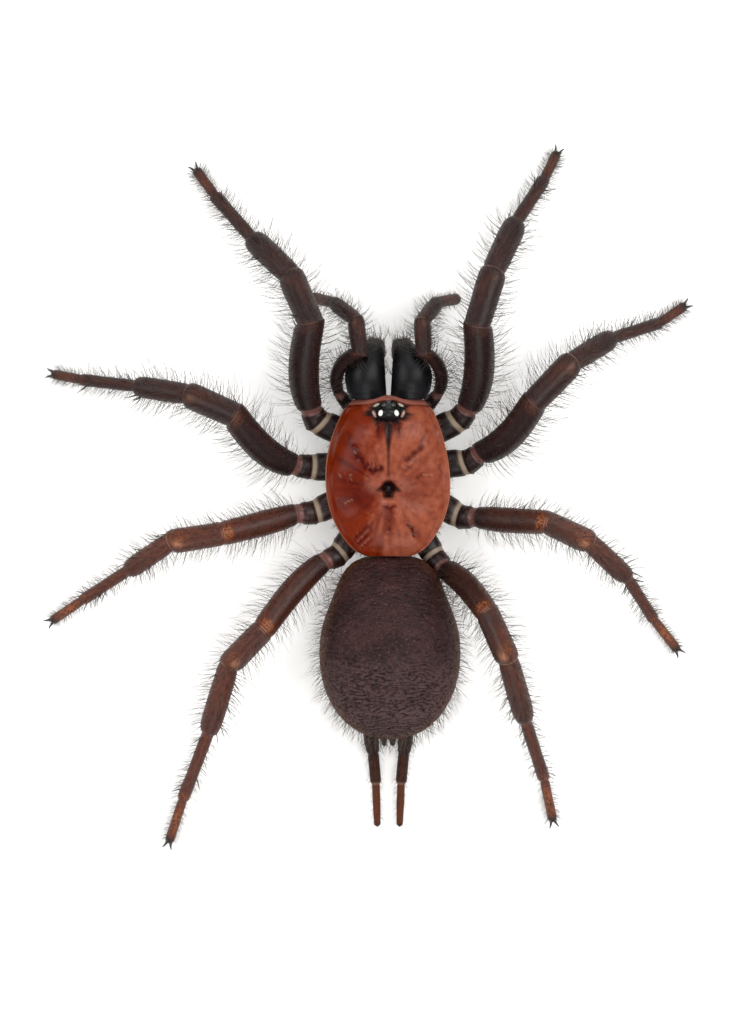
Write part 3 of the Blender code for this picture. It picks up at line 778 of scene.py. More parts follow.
@dataclass
class Painter:
    """The nodes of one material, and the few steps that every finish is painted in."""

    tree: bpy.types.NodeTree
    shader: bpy.types.Node

    def feed(self, name: str, socket: bpy.types.NodeSocket) -> None:
        """Link a socket to the surface shader's input of that name."""
        self.tree.links.new(socket, self.shader.inputs[name])

    def masks(self) -> list[bpy.types.NodeSocket]:
        """The skin's six masks.

        Returns:
            A socket for each.
        """
        found = []
        for name in ("tone", "marks"):
            read = add_node(self.tree, "ShaderNodeAttribute", {"attribute_name": name})
            split = add_node(self.tree, "ShaderNodeSeparateColor", links={0: read.outputs["Color"]})
            found += list(split.outputs)
        return found

    def times(self, first: bpy.types.NodeSocket, second: object) -> bpy.types.NodeSocket:
        """The product of a mask and a second mask or a number.

        Args:
            first: The mask.
            second: What it is multiplied by.

        Returns:
            The product.
        """
        settings, links = {"operation": "MULTIPLY"}, {0: first}
        (settings if isinstance(second, float) else links)[1] = second
        return add_node(self.tree, "ShaderNodeMath", settings, links).outputs[0]

    def plus(
        self, value: bpy.types.NodeSocket, factor: float, offset: bpy.types.NodeSocket
    ) -> bpy.types.NodeSocket:
        """A value times a number, plus a second value.

        Args:
            value: The value.
            factor: What it is multiplied by.
            offset: What is added.

        Returns:
            The sum.
        """
        settings = {"operation": "MULTIPLY_ADD", 1: factor}
        return add_node(self.tree, "ShaderNodeMath", settings, {0: value, 2: offset}).outputs[0]

    def noise(
        self, place: bpy.types.NodeSocket, repeats: tuple, detail: float
    ) -> bpy.types.NodeSocket:
        """Noise read at a place.

        Args:
            place: The place.
            repeats: How many grains fit in one unit along each axis.
            detail: Octaves of finer noise.

        Returns:
            The noise, from 0 to 1.
        """
        shape = add_node(self.tree, "ShaderNodeMapping", {"Scale": repeats}, {0: place})
        settings = {"Scale": 1.0, "Detail": detail}
        return add_node(self.tree, "ShaderNodeTexNoise", settings, {0: shape.outputs[0]}).outputs[0]

    def speckle(
        self, size_mm: float, detail: float = 3.0, stretch: tuple = (1.0, 1.0, 1.0)
    ) -> bpy.types.NodeSocket:
        """Noise with grains of a real size.

        Args:
            size_mm: Size of a grain.
            detail: Octaves of finer noise.
            stretch: How many times the grain is repeated along each axis.

        Returns:
            The noise, from 0 to 1.
        """
        place = add_node(self.tree, "ShaderNodeTexCoord")
        return self.noise(place.outputs["Object"], [s / (size_mm * MM) for s in stretch], detail)

    def mix(
        self, share: bpy.types.NodeSocket, first: object, second: object
    ) -> bpy.types.NodeSocket:
        """Two colours mixed by a mask.

        Args:
            share: The mask.
            first: Hex colour or socket where the mask is 0.
            second: Hex colour or socket where it is 1.

        Returns:
            The mixed colour.
        """
        blend = add_node(self.tree, "ShaderNodeMix", {"data_type": "RGBA"}, {0: share})
        for socket, value in ((blend.inputs[6], first), (blend.inputs[7], second)):
            if isinstance(value, str):
                socket.default_value = linear(value)
            else:
                self.tree.links.new(value, socket)
        return blend.outputs[2]

    def layered(self, base: bpy.types.NodeSocket, *layers: tuple) -> bpy.types.NodeSocket:
        """A colour with others laid over it in turn.

        Args:
            base: The lowest colour.
            layers: Each a mask, and the hex colour or socket that it lays on.

        Returns:
            The upper face's colour.
        """
        for mask, colour in layers:
            base = self.mix(mask, base, colour)
        return base

    def ramp(self, value: bpy.types.NodeSocket, low: float, high: float) -> bpy.types.NodeSocket:
        """A mask that goes from 0 to 1 over a range of a value.

        Args:
            value: The value.
            low: Where the mask is 0.
            high: Where it is 1.

        Returns:
            The mask.
        """
        return add_node(self.tree, "ShaderNodeMapRange", {1: low, 2: high}, {0: value}).outputs[0]

    def between(self, mask: bpy.types.NodeSocket, start: float, end: float) -> bpy.types.NodeSocket:
        """A number that goes with a mask.

        Args:
            mask: The mask.
            start: The number where the mask is 0.
            end: The number where it is 1.

        Returns:
            The number.
        """
        return add_node(self.tree, "ShaderNodeMapRange", {3: start, 4: end}, {0: mask}).outputs[0]

    def relief(self, height: bpy.types.NodeSocket, depth_mm: float, strength: float) -> None:
        """Bump from a height.

        Args:
            height: Height between 0 and 1.
            depth_mm: Real depth that 1 stands for.
            strength: How much of it shows.
        """
        settings = {"Strength": strength, "Distance": depth_mm * MM}
        bumps = add_node(self.tree, "ShaderNodeBump", settings, {"Height": height})
        self.feed("Normal", bumps.outputs[0])


@dataclass(frozen=True)
class Finish:
    """What every finish shares: a name, a roughness, a clear coat and how much it mirrors."""

    name: str
    roughness: float = 0.4
    coat: float = 0.0
    gloss: float = 0.5

    def material(self) -> bpy.types.Material:
        """The finish as a material.

        Returns:
            The material.
        """
        made = bpy.data.materials.new(self.name)
        made.use_nodes = True
        shader = made.node_tree.nodes["Principled BSDF"]
        values = {
            "Roughness": self.roughness,
            "Metallic": 0.0,
            "IOR": CUTICLE_IOR,
            "Specular IOR Level": self.gloss,
            "Coat Weight": self.coat,
            "Coat Roughness": COAT_ROUGHNESS,
        }
        for socket, value in values.items():
            shader.inputs[socket].default_value = value
        self.paint(Painter(made.node_tree, shader))
        return made

    def paint(self, brush: Painter) -> None:
        """Add the finish's own pattern.

        Args:
            brush: The material's painter.
        """


@dataclass(frozen=True)
class CarapaceShell(Finish):
    """Thin sclerotised cuticle, amber over darker muscle, polished, with fine pits, and a painted
    pinkish sheen on its right side and middle.

    Masks: dark red patches, pale rim, black stripe and pit, front band of painted pinkish sheen, red
    tint, pale scars.
    """

    # light, and the brighter mottle in it, carry a painted pinkish sheen; deep is the shell's orange
    # with no sheen painted
    light: str = "#904a34"
    bright: str = "#a45a40"
    deep: str = "#712205"
    patch: str = "#3d0402"
    rim: str = "#a9745c"
    # The front band's colour is a painted pinkish sheen
    stripe: str = "#110a0d"
    sheen_band: str = "#8a564b"
    tint: str = "#4e0e04"
    scar: str = "#a06a55"
    # Where the cloud turns from light, the brown with a painted pinkish sheen, to deep, over how much
    # of it, and how far a millimetre moves that
    sheen_balance: float = 0.56
    fade: float = 0.14
    lean: float = 0.11

    def paint(self, brush: Painter) -> None:
        """Cloud the two browns and lay the masks over them, some with a ragged edge."""
        patch, rim, black, sheen_band, tint, scar = brush.masks()
        place = add_node(brush.tree, "ShaderNodeTexCoord")
        across = add_node(brush.tree, "ShaderNodeSeparateXYZ", links={0: place.outputs["Object"]})
        # The shell is painted a deeper orange on its left side and a paler, pinker brown on its right
        # side and middle: a painted sheen, as from a soft box to its right
        lean = brush.plus(across.outputs[0], -self.lean / MM, brush.speckle(2.6, 4.0))
        middle = self.sheen_balance - self.lean * float(SHIFT[0])
        fine = brush.speckle(0.5, 6.0)
        pale = brush.mix(brush.times(brush.ramp(fine, 0.47, 0.3), 0.4), self.light, self.bright)
        edge = brush.ramp(brush.speckle(0.3, 4.0), 0.22, 0.42)
        base = brush.layered(
            brush.mix(brush.ramp(lean, middle, middle + self.fade), pale, self.deep),
            (brush.times(brush.ramp(fine, 0.48, 0.7), 0.4), self.tint),
            (brush.times(tint, edge), self.tint),
            (sheen_band, self.sheen_band),
            (brush.times(patch, edge), self.patch),
            (scar, self.scar),
            (black, self.stripe),
            (rim, self.rim),
        )
        brush.feed("Base Color", base)
        brush.relief(brush.speckle(0.22, 5.0), 0.04, 0.35)


@dataclass(frozen=True)
class BlackShell(Finish):
    """Thick black cuticle, polished, with a blue-grey cast and a fine grain."""

    dark: str = "#060608"
    pale: str = "#0f0f13"

    def paint(self, brush: Painter) -> None:
        """Cloud two blacks and add a fine grain."""
        cloud = brush.ramp(brush.speckle(1.2), 0.4, 0.65)
        brush.feed("Base Color", brush.mix(cloud, self.dark, self.pale))
        brush.relief(brush.speckle(0.16, 4.0), 0.03, 0.4)


@dataclass(frozen=True)
class Lens(Finish):
    """Clear wet cuticle over the eye's cup, which shows as its colour."""

    colour: str = "#1a1413"
    cloud: str = "#8f8478"

    def paint(self, brush: Painter) -> None:
        """A faint cloud in the cup."""
        mist = brush.ramp(brush.speckle(0.16), 0.3, 0.8)
        brush.feed("Base Color", brush.mix(mist, self.colour, self.cloud))


@dataclass(frozen=True)
class LegShell(Finish):
    """Leg cuticle, black-brown to red-brown, dulled by the down that lies along it.

    Masks: warm colour, beige membrane, bare and polished, pink membrane, orange mottle, pale line.
    """

    dark: str = "#221110"
    warm: str = "#4f2216"
    membrane: str = "#93816d"
    pink: str = "#704a44"
    speck: str = "#33201c"
    mottle: str = "#8c4a29"
    spot: str = "#2d120b"
    line: str = "#b87c5a"
    streak: str = "#43302b"
    # Painted shade in the beds between the streaks of down
    bed_shade: str = "#0c0505"
    polished: str = "#180b0a"
    bare_roughness: float = 0.36
    # Hairs of the down round the limb and along it; drawn about 0.1 mm wide so that they show
    lie: tuple = (90.0, 60.0, 1.0)

    def paint(self, brush: Painter) -> None:
        """Warm patches and membranes over the dark cuticle, with streaks of down along the limb and
        painted shade in the beds between them.
        """
        warm, beige, bare, pink, mottle, line = brush.masks()
        warmth = brush.plus(brush.speckle(0.45), 0.7, warm)
        place = add_node(brush.tree, "ShaderNodeUVMap", {"uv_map": SKIN_MAP})
        down = brush.noise(place.outputs[0], self.lie, 3.0)
        covered = brush.between(bare, 0.7, 0.12)
        dots = brush.speckle(0.16, 1.0)
        base = brush.layered(
            brush.mix(brush.ramp(warmth, 0.35, 1.25), self.dark, self.warm),
            (brush.times(brush.ramp(down, 0.52, 0.72), covered), self.streak),
            # Painted shade between the streaks of down
            (brush.times(brush.ramp(down, 0.5, 0.38), covered), self.bed_shade),
            (brush.times(bare, 0.75), self.polished),
            (mottle, brush.mix(brush.ramp(dots, 0.5, 0.58), self.mottle, self.spot)),
            (beige, self.membrane),
            (pink, brush.mix(brush.ramp(dots, 0.62, 0.68), self.pink, self.speck)),
            (line, self.line),
        )
        brush.feed("Base Color", base)
        brush.feed("Roughness", brush.between(bare, self.roughness, self.bare_roughness))
        brush.relief(brush.times(down, brush.between(bare, 1.0, 0.0)), 0.06, 0.5)


@dataclass(frozen=True)
class AbdomenSkin(Finish):
    """Soft leathery skin, purple-brown, wrinkled across, with pale specks and a browner rim.

    Masks: brown rim, wrinkle depth for the painted shade in their beds, book lungs underneath,
    painted highlight on the crests of the wrinkles.
    """

    dark: str = "#281515"
    light: str = "#3f2424"
    rim: str = "#58331a"
    # A painted highlight on the crests of the wrinkles
    crest_highlight: str = "#503c3d"
    speck: str = "#573c37"
    lung: str = "#8c7355"
    # Painted shade in the beds of the wrinkles and the hollows of the grain
    bed_shade: str = "#0e0606"

    def paint(self, brush: Painter) -> None:
        """Cloud the skin, brown its rim, paint a highlight on the wrinkles' crests, paint shade into
        their beds and the grain's hollows, and add specks.
        """
        rim, depth, lungs, crest_highlights = brush.masks()[:4]
        cloud = brush.ramp(brush.speckle(1.6, 5.0), 0.35, 0.68)
        # Its grains are the sockets of the down, about 0.1 mm across
        grain = brush.speckle(0.13, 2.0, (0.7, 1.0, 1.0))
        base = brush.layered(
            brush.mix(cloud, self.dark, self.light),
            (rim, self.rim),
            # Painted highlight on the crests, then painted shade in the wrinkles' beds
            (crest_highlights, self.crest_highlight),
            (brush.times(depth, 0.8), self.bed_shade),
            (brush.ramp(grain, 0.6, 0.72), self.speck),
            # Painted shade in the hollows of the grain
            (brush.times(brush.ramp(grain, 0.46, 0.3), 0.8), self.bed_shade),
            (lungs, self.lung),
        )
        brush.feed("Base Color", base)
        brush.relief(grain, 0.07, 0.8)


@dataclass(frozen=True)
class Seta(Finish):
    """Hairs of dark cuticle, each with its own shade between near-black and silvery brown."""

    dark: str = "#14100f"
    light: str = "#5e4a3f"

    def paint(self, brush: Painter) -> None:
        """Mix the two by the hair's shade."""
        shade = add_node(brush.tree, "ShaderNodeAttribute", {"attribute_name": "shade"})
        brush.feed("Base Color", brush.mix(shade.outputs["Fac"], self.dark, self.light))


@dataclass(frozen=True)
class StudioFloor(Finish):
    """Matt white card with a painted glow of its own white, so that shadows on it stay pale."""

    colour: str = "#f4f3f1"
    fibre: str = "#f1f0ee"
    glow: float = 0.4

    def paint(self, brush: Painter) -> None:
        """The card's white, with a faint fibre."""
        brush.feed("Base Color", brush.mix(brush.speckle(1.5), self.colour, self.fibre))
        # The card's painted glow, which also lights the body a little from below
        brush.shader.inputs["Emission Color"].default_value = linear(self.colour)
        brush.shader.inputs["Emission Strength"].default_value = self.glow


# Body


@dataclass
class Carapace:
    """The shield over the front of the body, with its central pit, grooves and turned-up rim."""

    # Distance behind the front edge, half width, crown's height
    keys: tuple = (
        (0.0, 1.8, 5.2),
        (0.12, 2.2, 5.36),
        (0.3, 2.62, 5.58),
        (0.5, 2.86, 5.8),
        (0.8, 3.1, 6.06),
        (1.1, 3.37, 6.22),
        (1.6, 3.61, 6.4),
        (2.1, 3.83, 6.57),
        (2.9, 4.13, 6.68),
        (3.7, 4.36, 6.6),
        (4.9, 4.61, 6.35),
        (6.2, 4.72, 6.1),
        (7.6, 4.67, 5.65),
        (9.0, 4.35, 5.58),
        (10.1, 3.87, 5.42),
        (11.2, 3.14, 5.08),
        (11.8, 2.5, 4.75),
        (12.2, 1.7, 4.5),
    )
    base: float = 3.85
    edge: float = 0.5
    rows: int = 150
    columns: int = 150
    # Grooves: from x, from y, to x, to y, depth, half width
    grooves: tuple = (
        (0.5, -0.5, 1.4, 0.7, 0.1, 0.22),
        (1.35, 0.95, 2.1, 1.75, 0.16, 0.16),
        (1.9, 1.5, 2.6, 3.1, 0.08, 0.3),
        (2.1, -0.1, 2.6, 0.15, 0.16, 0.07),
        (0.9, -1.1, 3.6, -0.4, 0.05, 0.35),
        (0.8, -1.4, 3.4, -2.7, 0.07, 0.35),
        (1.55, -3.55, 2.05, -4.35, 0.2, 0.12),
        (0.9, -2.6, 1.5, -4.9, 0.06, 0.3),
        (-0.5, -0.5, -1.3, 0.6, 0.1, 0.22),
        (-1.6, 1.1, -2.5, 2.3, 0.14, 0.2),
        (-2.4, 2.2, -3.0, 3.3, 0.07, 0.25),
        (-0.9, 0.55, -1.7, 0.75, 0.12, 0.14),
        (-1.2, 0.3, -1.35, 1.0, 0.08, 0.08),
        (-0.9, -1.1, -3.6, -0.5, 0.05, 0.35),
        (-0.8, -1.4, -3.2, -2.6, 0.07, 0.35),
        (-1.5, -3.2, -2.2, -3.9, 0.14, 0.1),
        (-1.45, -3.7, -2.4, -4.45, 0.16, 0.1),
        (-1.5, -4.2, -2.3, -4.95, 0.14, 0.1),
        (-1.4, -4.8, -2.0, -5.3, 0.1, 0.1),
    )
    # Dark red patches: from x, from y, to x, to y, half width, strength
    patches: tuple = (
        (-2.62, 2.0, -1.94, 1.06, 0.14, 1.0),
        (-1.75, 0.62, -0.75, 0.5, 0.3, 1.0),
        (-1.5, 0.7, -1.62, 1.08, 0.08, 0.9),
        (-1.25, 0.7, -1.3, 1.15, 0.07, 0.9),
        (-1.0, 0.7, -0.98, 1.05, 0.07, 0.8),
        (-3.1, 3.3, -2.75, 2.2, 0.16, 0.4),
        (2.45, 2.2, 1.45, 1.33, 0.24, 0.8),
        (0.8, 0.55, 1.5, 0.6, 0.22, 0.4),
        (2.1, -0.16, 2.6, 0.2, 0.06, 0.9),
        (2.92, 3.56, 2.5, 2.65, 0.14, 0.5),
        (3.9, 0.9, 3.95, -0.1, 0.14, 0.35),
        (-3.4, -1.6, -1.5, -2.1, 0.35, 0.45),
        (-2.5, -4.6, -1.55, -3.6, 0.09, 0.9),
        (-2.25, -5.05, -1.5, -4.3, 0.08, 0.8),
        (-1.95, -5.3, -1.45, -4.9, 0.07, 0.6),
        (1.5, -3.6, 1.98, -4.45, 0.1, 0.95),
        (-0.45, -2.28, 0.45, -2.28, 0.12, 0.9),
    )
    # Pale scars: from x, from y, to x, to y, half width, strength
    pale: tuple = (
        (2.6, 0.18, 3.33, 0.2, 0.06, 0.8),
        (-3.3, -2.0, -2.75, -1.7, 0.06, 0.7),
        (-2.58, 1.9, -2.54, 1.86, 0.1, 0.75),
        (-2.96, 0.1, -2.9, 0.1, 0.09, 0.7),
        (-2.8, -0.27, -2.78, -0.3, 0.06, 0.6),
        (-3.65, 0.2, -3.6, 0.15, 0.1, 0.4),
        (-0.5, -1.88, 0.5, -1.88, 0.05, 0.6),
        (-2.35, -4.85, -1.5, -3.95, 0.06, 0.5),
        (-2.1, -5.25, -1.45, -4.6, 0.05, 0.5),
        (1.6, 1.0, 1.75, 1.1, 0.1, 0.4),
    )
    # Small scars: x, y, half width, depth
    scars: tuple = (
        (-2.95, 0.1, 0.13, 0.1),
        (-2.4, 1.35, 0.12, 0.08),
        (-3.6, 0.15, 0.1, 0.06),
        (1.6, 1.0, 0.14, -0.08),
    )
    # Places along of the pit's middle and of the black round the eyes
    pit_place: float = -1.0
    eyes_place: float = 4.92
    # Points across the flat underside
    under: int = 12

    def height(self, x: np.ndarray, y: np.ndarray) -> np.ndarray:
        """Height of the plain upper face.

        Args:
            x: Places across.
            y: Places along.

        Returns:
            Heights.
        """
        half_width, crown = smooth(self.keys, (CARAPACE_FRONT - y).ravel()).T
        half_width, crown = half_width.reshape(y.shape), crown.reshape(y.shape)
        edge = self.base + self.edge
        share = np.minimum(1.0, np.abs(x) / half_width)
        return edge + (crown - edge) * (1 - share**2.3) ** 0.75

    def furrow(self, x: np.ndarray, y: np.ndarray) -> np.ndarray:
        """How deep the grooves and scars are cut.

        Args:
            x: Places across.
            y: Places along.

        Returns:
            Depths.
        """
        depth = np.zeros(x.shape)
        for *ends, deep, wide in self.grooves:
            depth += 0.45 * deep * bump(self.from_stroke(x, y, ends, 0.09, 9), 0.0, wide)
        for x0, y0, wide, deep in self.scars:
            depth += deep * bump(np.hypot(x - x0, y - y0), 0.0, wide)
        return depth

    def hollows(self, x: np.ndarray, y: np.ndarray, share: np.ndarray) -> np.ndarray:
        """How deep the pit, stripe, grooves and rim are cut.

        Args:
            x: Places across.
            y: Places along.
            share: Places across as shares of the half width.

        Returns:
            Depths.
        """
        pit = 0.22 * self.pit(x, y) + 0.5 * plateau(x, 0.0, 0.4) * plateau(y, -0.95, 0.55)
        tail = 0.1 * plateau(x, 0.0, 0.4) * plateau(y, -1.6, 0.6)
        trough = 0.12 * bump(x, 0.0, 0.45) * window(y, (-5.6, -4.6), (-2.6, -2.0))
        stripe = 0.06 * bump(x, 0.0, 0.13) * window(y, (-0.6, 0.2), (3.6, 4.3))
        front = CARAPACE_FRONT - y
        rim = 0.1 * bump(share, 0.93, 0.035) * ease(0.3, 1.2, front)
        brow = 0.09 * bump(front - self.brow(x), 0.0, 0.07)
        return pit + tail + trough + stripe + self.furrow(x, y) + rim + brow

    @staticmethod
    def brow(x: np.ndarray) -> np.ndarray:
        """How far behind the front edge the line runs that parts the face from the shield.

        Args:
            x: Places across.

        Returns:
            Distances.
        """
        return 0.3 + 0.32 * ease(0.1, 1.5, np.abs(x)) + 0.06 * np.abs(x)

    @staticmethod
    def from_stroke(
        x: np.ndarray, y: np.ndarray, ends: tuple, swing: float, waves: float
    ) -> np.ndarray:
        """Distance from a stroke that weaves about the straight line between its ends.

        Args:
            x: Places across.
            y: Places along.
            ends: Across and along of its first end, then of its last one.
            swing: How far it weaves.
            waves: How often, in radians over its length.

        Returns:
            The distances.
        """
        x0, y0, x1, y1 = ends
        run = np.array((x1 - x0, y1 - y0))
        t = np.clip(((x - x0) * run[0] + (y - y0) * run[1]) / (run @ run), 0, 1)
        bend = swing * np.sin(waves * t + 5 * x0)
        return np.hypot(x - x0 - t * run[0] + bend, y - y0 - t * run[1] + bend)

    def strokes(self, x: np.ndarray, y: np.ndarray, marks: tuple) -> np.ndarray:
        """A mask of short strokes.

        Args:
            x: Places across.
            y: Places along.
            marks: Each stroke's two ends, half width and strength.

        Returns:
            The mask.
        """
        mask = np.zeros(x.shape)
        for *ends, wide, power in marks:
            away = self.from_stroke(x, y, ends, 0.5 * wide, 7)
            mask = np.maximum(mask, power * plateau(away, 0.0, wide))
        return mask

    def pit(self, x: np.ndarray, y: np.ndarray) -> np.ndarray:
        """The central pit, a blunt triangle with its point ahead.

        Args:
            x: Places across.
            y: Places along.

        Returns:
            Its mask.
        """
        reach = 0.1 + 0.86 * np.clip((-0.2 - y) / 0.86, 0, 1)
        wide = 1 - ease(0.75, 1.15, np.abs(x) / reach)
        return wide * window(y, (-1.2, -1.02), (-0.45, -0.15))

    def rays(self, x: np.ndarray, y: np.ndarray, share: np.ndarray) -> np.ndarray:
        """Rays that spread from the pit towards the rim, stronger on the left side.

        Args:
            x: Places across.
            y: Places along.
            share: Places across as shares of the half width.

        Returns:
            Their mask.
        """
        ahead = y - self.pit_place
        away, turn = np.hypot(x, ahead), np.arctan2(ahead, x)
        spokes = zip(8 * np.cos(turn.ravel()), 8 * np.sin(turn.ravel()), 0.4 * away.ravel())
        streaks = np.array([noise.noise(Vector(spoke)) for spoke in spokes]).reshape(x.shape)
        fade = ease(0.9, 1.8, away) * (1 - ease(0.82, 0.95, share))
        return (0.85 - 0.1 * x) * np.clip(streaks, 0, 1) * fade

    def tones(self, x: np.ndarray, y: np.ndarray, share: np.ndarray) -> np.ndarray:
        """The masks of the shield's finish.

        Args:
            x: Places across.
            y: Places along.
            share: Places across as shares of the half width.

        Returns:
            Red patches, rim, black, front band of painted sheen, red tint and scars.
        """
        side, front = np.abs(x), CARAPACE_FRONT - y
        pit, line = self.pit(x, y), front - self.brow(x)
        seam = 0.75 * bump(line, 0.0, 0.06)
        patch = np.maximum.reduce((self.strokes(x, y, self.patches), seam, pit))
        tint = (
            0.9 * bump(side, 0.5, 0.4) * bump(y, 3.8, 0.6)
            + 0.5 * bump(side, 1.9, 1.2) * bump(y, -1.4, 0.6)
            + 0.75 * plateau(x, 0.0, 0.45) * window(y, (-4.6, -4.0), (-2.4, -1.9))
            + 3.5 * np.clip(self.furrow(x, y), 0, 0.15)
            + self.rays(x, y, share)
            + 0.5 * bump(x, -2.7, 1.3) * bump(y, -0.4, 2.2)
            + 0.3 * bump(x, 2.3, 1.2) * bump(y, -0.2, 0.7)
        )
        rim = 0.5 * ease(0.972, 0.99, share) * ease(0.8, 1.0, front)
        # The pale band ahead of the brow line is a painted sheen
        sheen_band = 0.85 * (1 - ease(-0.12, -0.04, line))
        width = 0.115 + 0.13 * np.clip(y - 2.0, 0, 3)
        stripe = plateau(x / width, 0.0, 1.0) * window(y, (-0.4, 0.2), (3.9, 4.4))
        stripe *= 0.6 + 0.38 * ease(0.5, 3.0, y)
        core = 0.97 * plateau(x, 0.0, 0.42) * window(y, (-1.75, -1.5), (-0.5, -0.28))
        prong = 0.75 * bump(side, 0.76 + 0.08 * (4.1 - y), 0.075)
        prong = prong * window(y, (2.9, 3.4), (4.2, 4.5))
        ahead = y - self.eyes_place
        turn = np.arctan2(ahead, x)
        ragged = 0.12 * np.sin(9 * turn + 1) + 0.09 * np.sin(17 * turn)
        ragged = ragged + 0.06 * np.sin(31 * turn + 2)
        away = np.hypot(x / 1.42, ahead / 0.86) + ragged
        eyes = 0.97 * (1 - ease(0.88, 1.42, away)) * ease(-0.02, 0.1, line)
        black = np.maximum.reduce((stripe, core, 0.7 * pit, prong, eyes))
        scar = 0.7 * self.strokes(x, y, self.pale)
        return np.clip(np.stack((patch, rim, black, sheen_band, tint, scar), axis=-1), 0, 1)

    def skin(self) -> Skin:
        """The shield's closed skin, with its thin underside.

        Returns:
            Rings from front to rear.
        """
        length = self.keys[-1][0]
        t = np.linspace(0, 1, self.rows)
        y = CARAPACE_FRONT - length * 0.5 * (1 - np.cos(math.pi * t))[:, None]
        half_width = smooth(self.keys, CARAPACE_FRONT - y[:, 0])[:, :1]
        # It reaches a little farther to the left than to the right, most of all near the eyes
        aside = 0.1 * bump(CARAPACE_FRONT - y, 4.3, 2.6)
        arc = -np.cos(math.pi * np.linspace(0, 1, self.columns + 1))
        across = half_width * arc - aside * arc**2
        ys, share = np.broadcast_arrays(y, np.abs(arc))
        z = self.height(across, ys) - self.hollows(across, ys, share)
        top = np.stack((across, ys - self.lobes(across, ys), z), axis=-1)
        flat = np.linspace(0.985, -0.985, self.under)
        x = half_width * flat
        bottom = np.stack(
            np.broadcast_arrays(x - aside * flat**2, y - self.lobes(x, y), self.base), axis=-1
        )
        skin = Skin.plain(np.concatenate((top, bottom), axis=1))
        skin.tones[:, : self.columns + 1] = self.tones(across, ys, share)
        return skin

    @staticmethod
    def lobes(x: np.ndarray, y: np.ndarray) -> np.ndarray:
        """How far the front edge is drawn back, which gives it two shallow lobes.

        Args:
            x: Places across.
            y: Places along.

        Returns:
            Distances.
        """
        notch = 0.2 * bump(x, 0.0, 0.4) + 0.05 * ease(1.4, 1.9, np.abs(x))
        return notch * ease(1.6, 0.0, CARAPACE_FRONT - y)

    def build(self, dice: np.random.Generator, seta: bpy.types.Material) -> None:
        """Make the shield and the short hairs along its rim.

        Args:
            dice: Source of chance.
            seta: The hairs' material.
        """
        skin = self.skin()
        shell = CarapaceShell("polished_red_brown_cuticle", roughness=0.2, gloss=0.12).material()
        shield = MeshMaker.cover("carapace_shield", skin, shell, "carapace")
        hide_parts("carapace")
        coat = Coat("hairs_of_carapace", dice)
        facets = skin.rings.shape[1]
        count = 700
        rows = dice.uniform(20, self.rows - 5, count)
        edge = np.where(dice.random(count) < 0.5, 0.0, self.columns) + dice.normal(0, 3, count)
        turns = np.clip(edge, -3, self.columns + 3) / facets
        points, _, normals = skin.at(rows, turns)
        along = unit(points * np.array((1.0, 0.6, 0.0)) - np.array((0.0, 0.0, 0.3)))
        kind = HairKind(0.34, 0.011, (18, 4), spread=24)
        coat.root_at(points, along, normals, skin.unwrap(rows, turns), kind)
        count = 260
        rows = dice.uniform(8, self.rows - 8, count)
        turns = dice.uniform(6, self.columns - 6, count) / facets
        coat.root(skin, rows, turns, HairKind(0.26, 0.009, (12, 4), spread=30, tint=(0.3, 1.0)))
        coat.piece(seta)


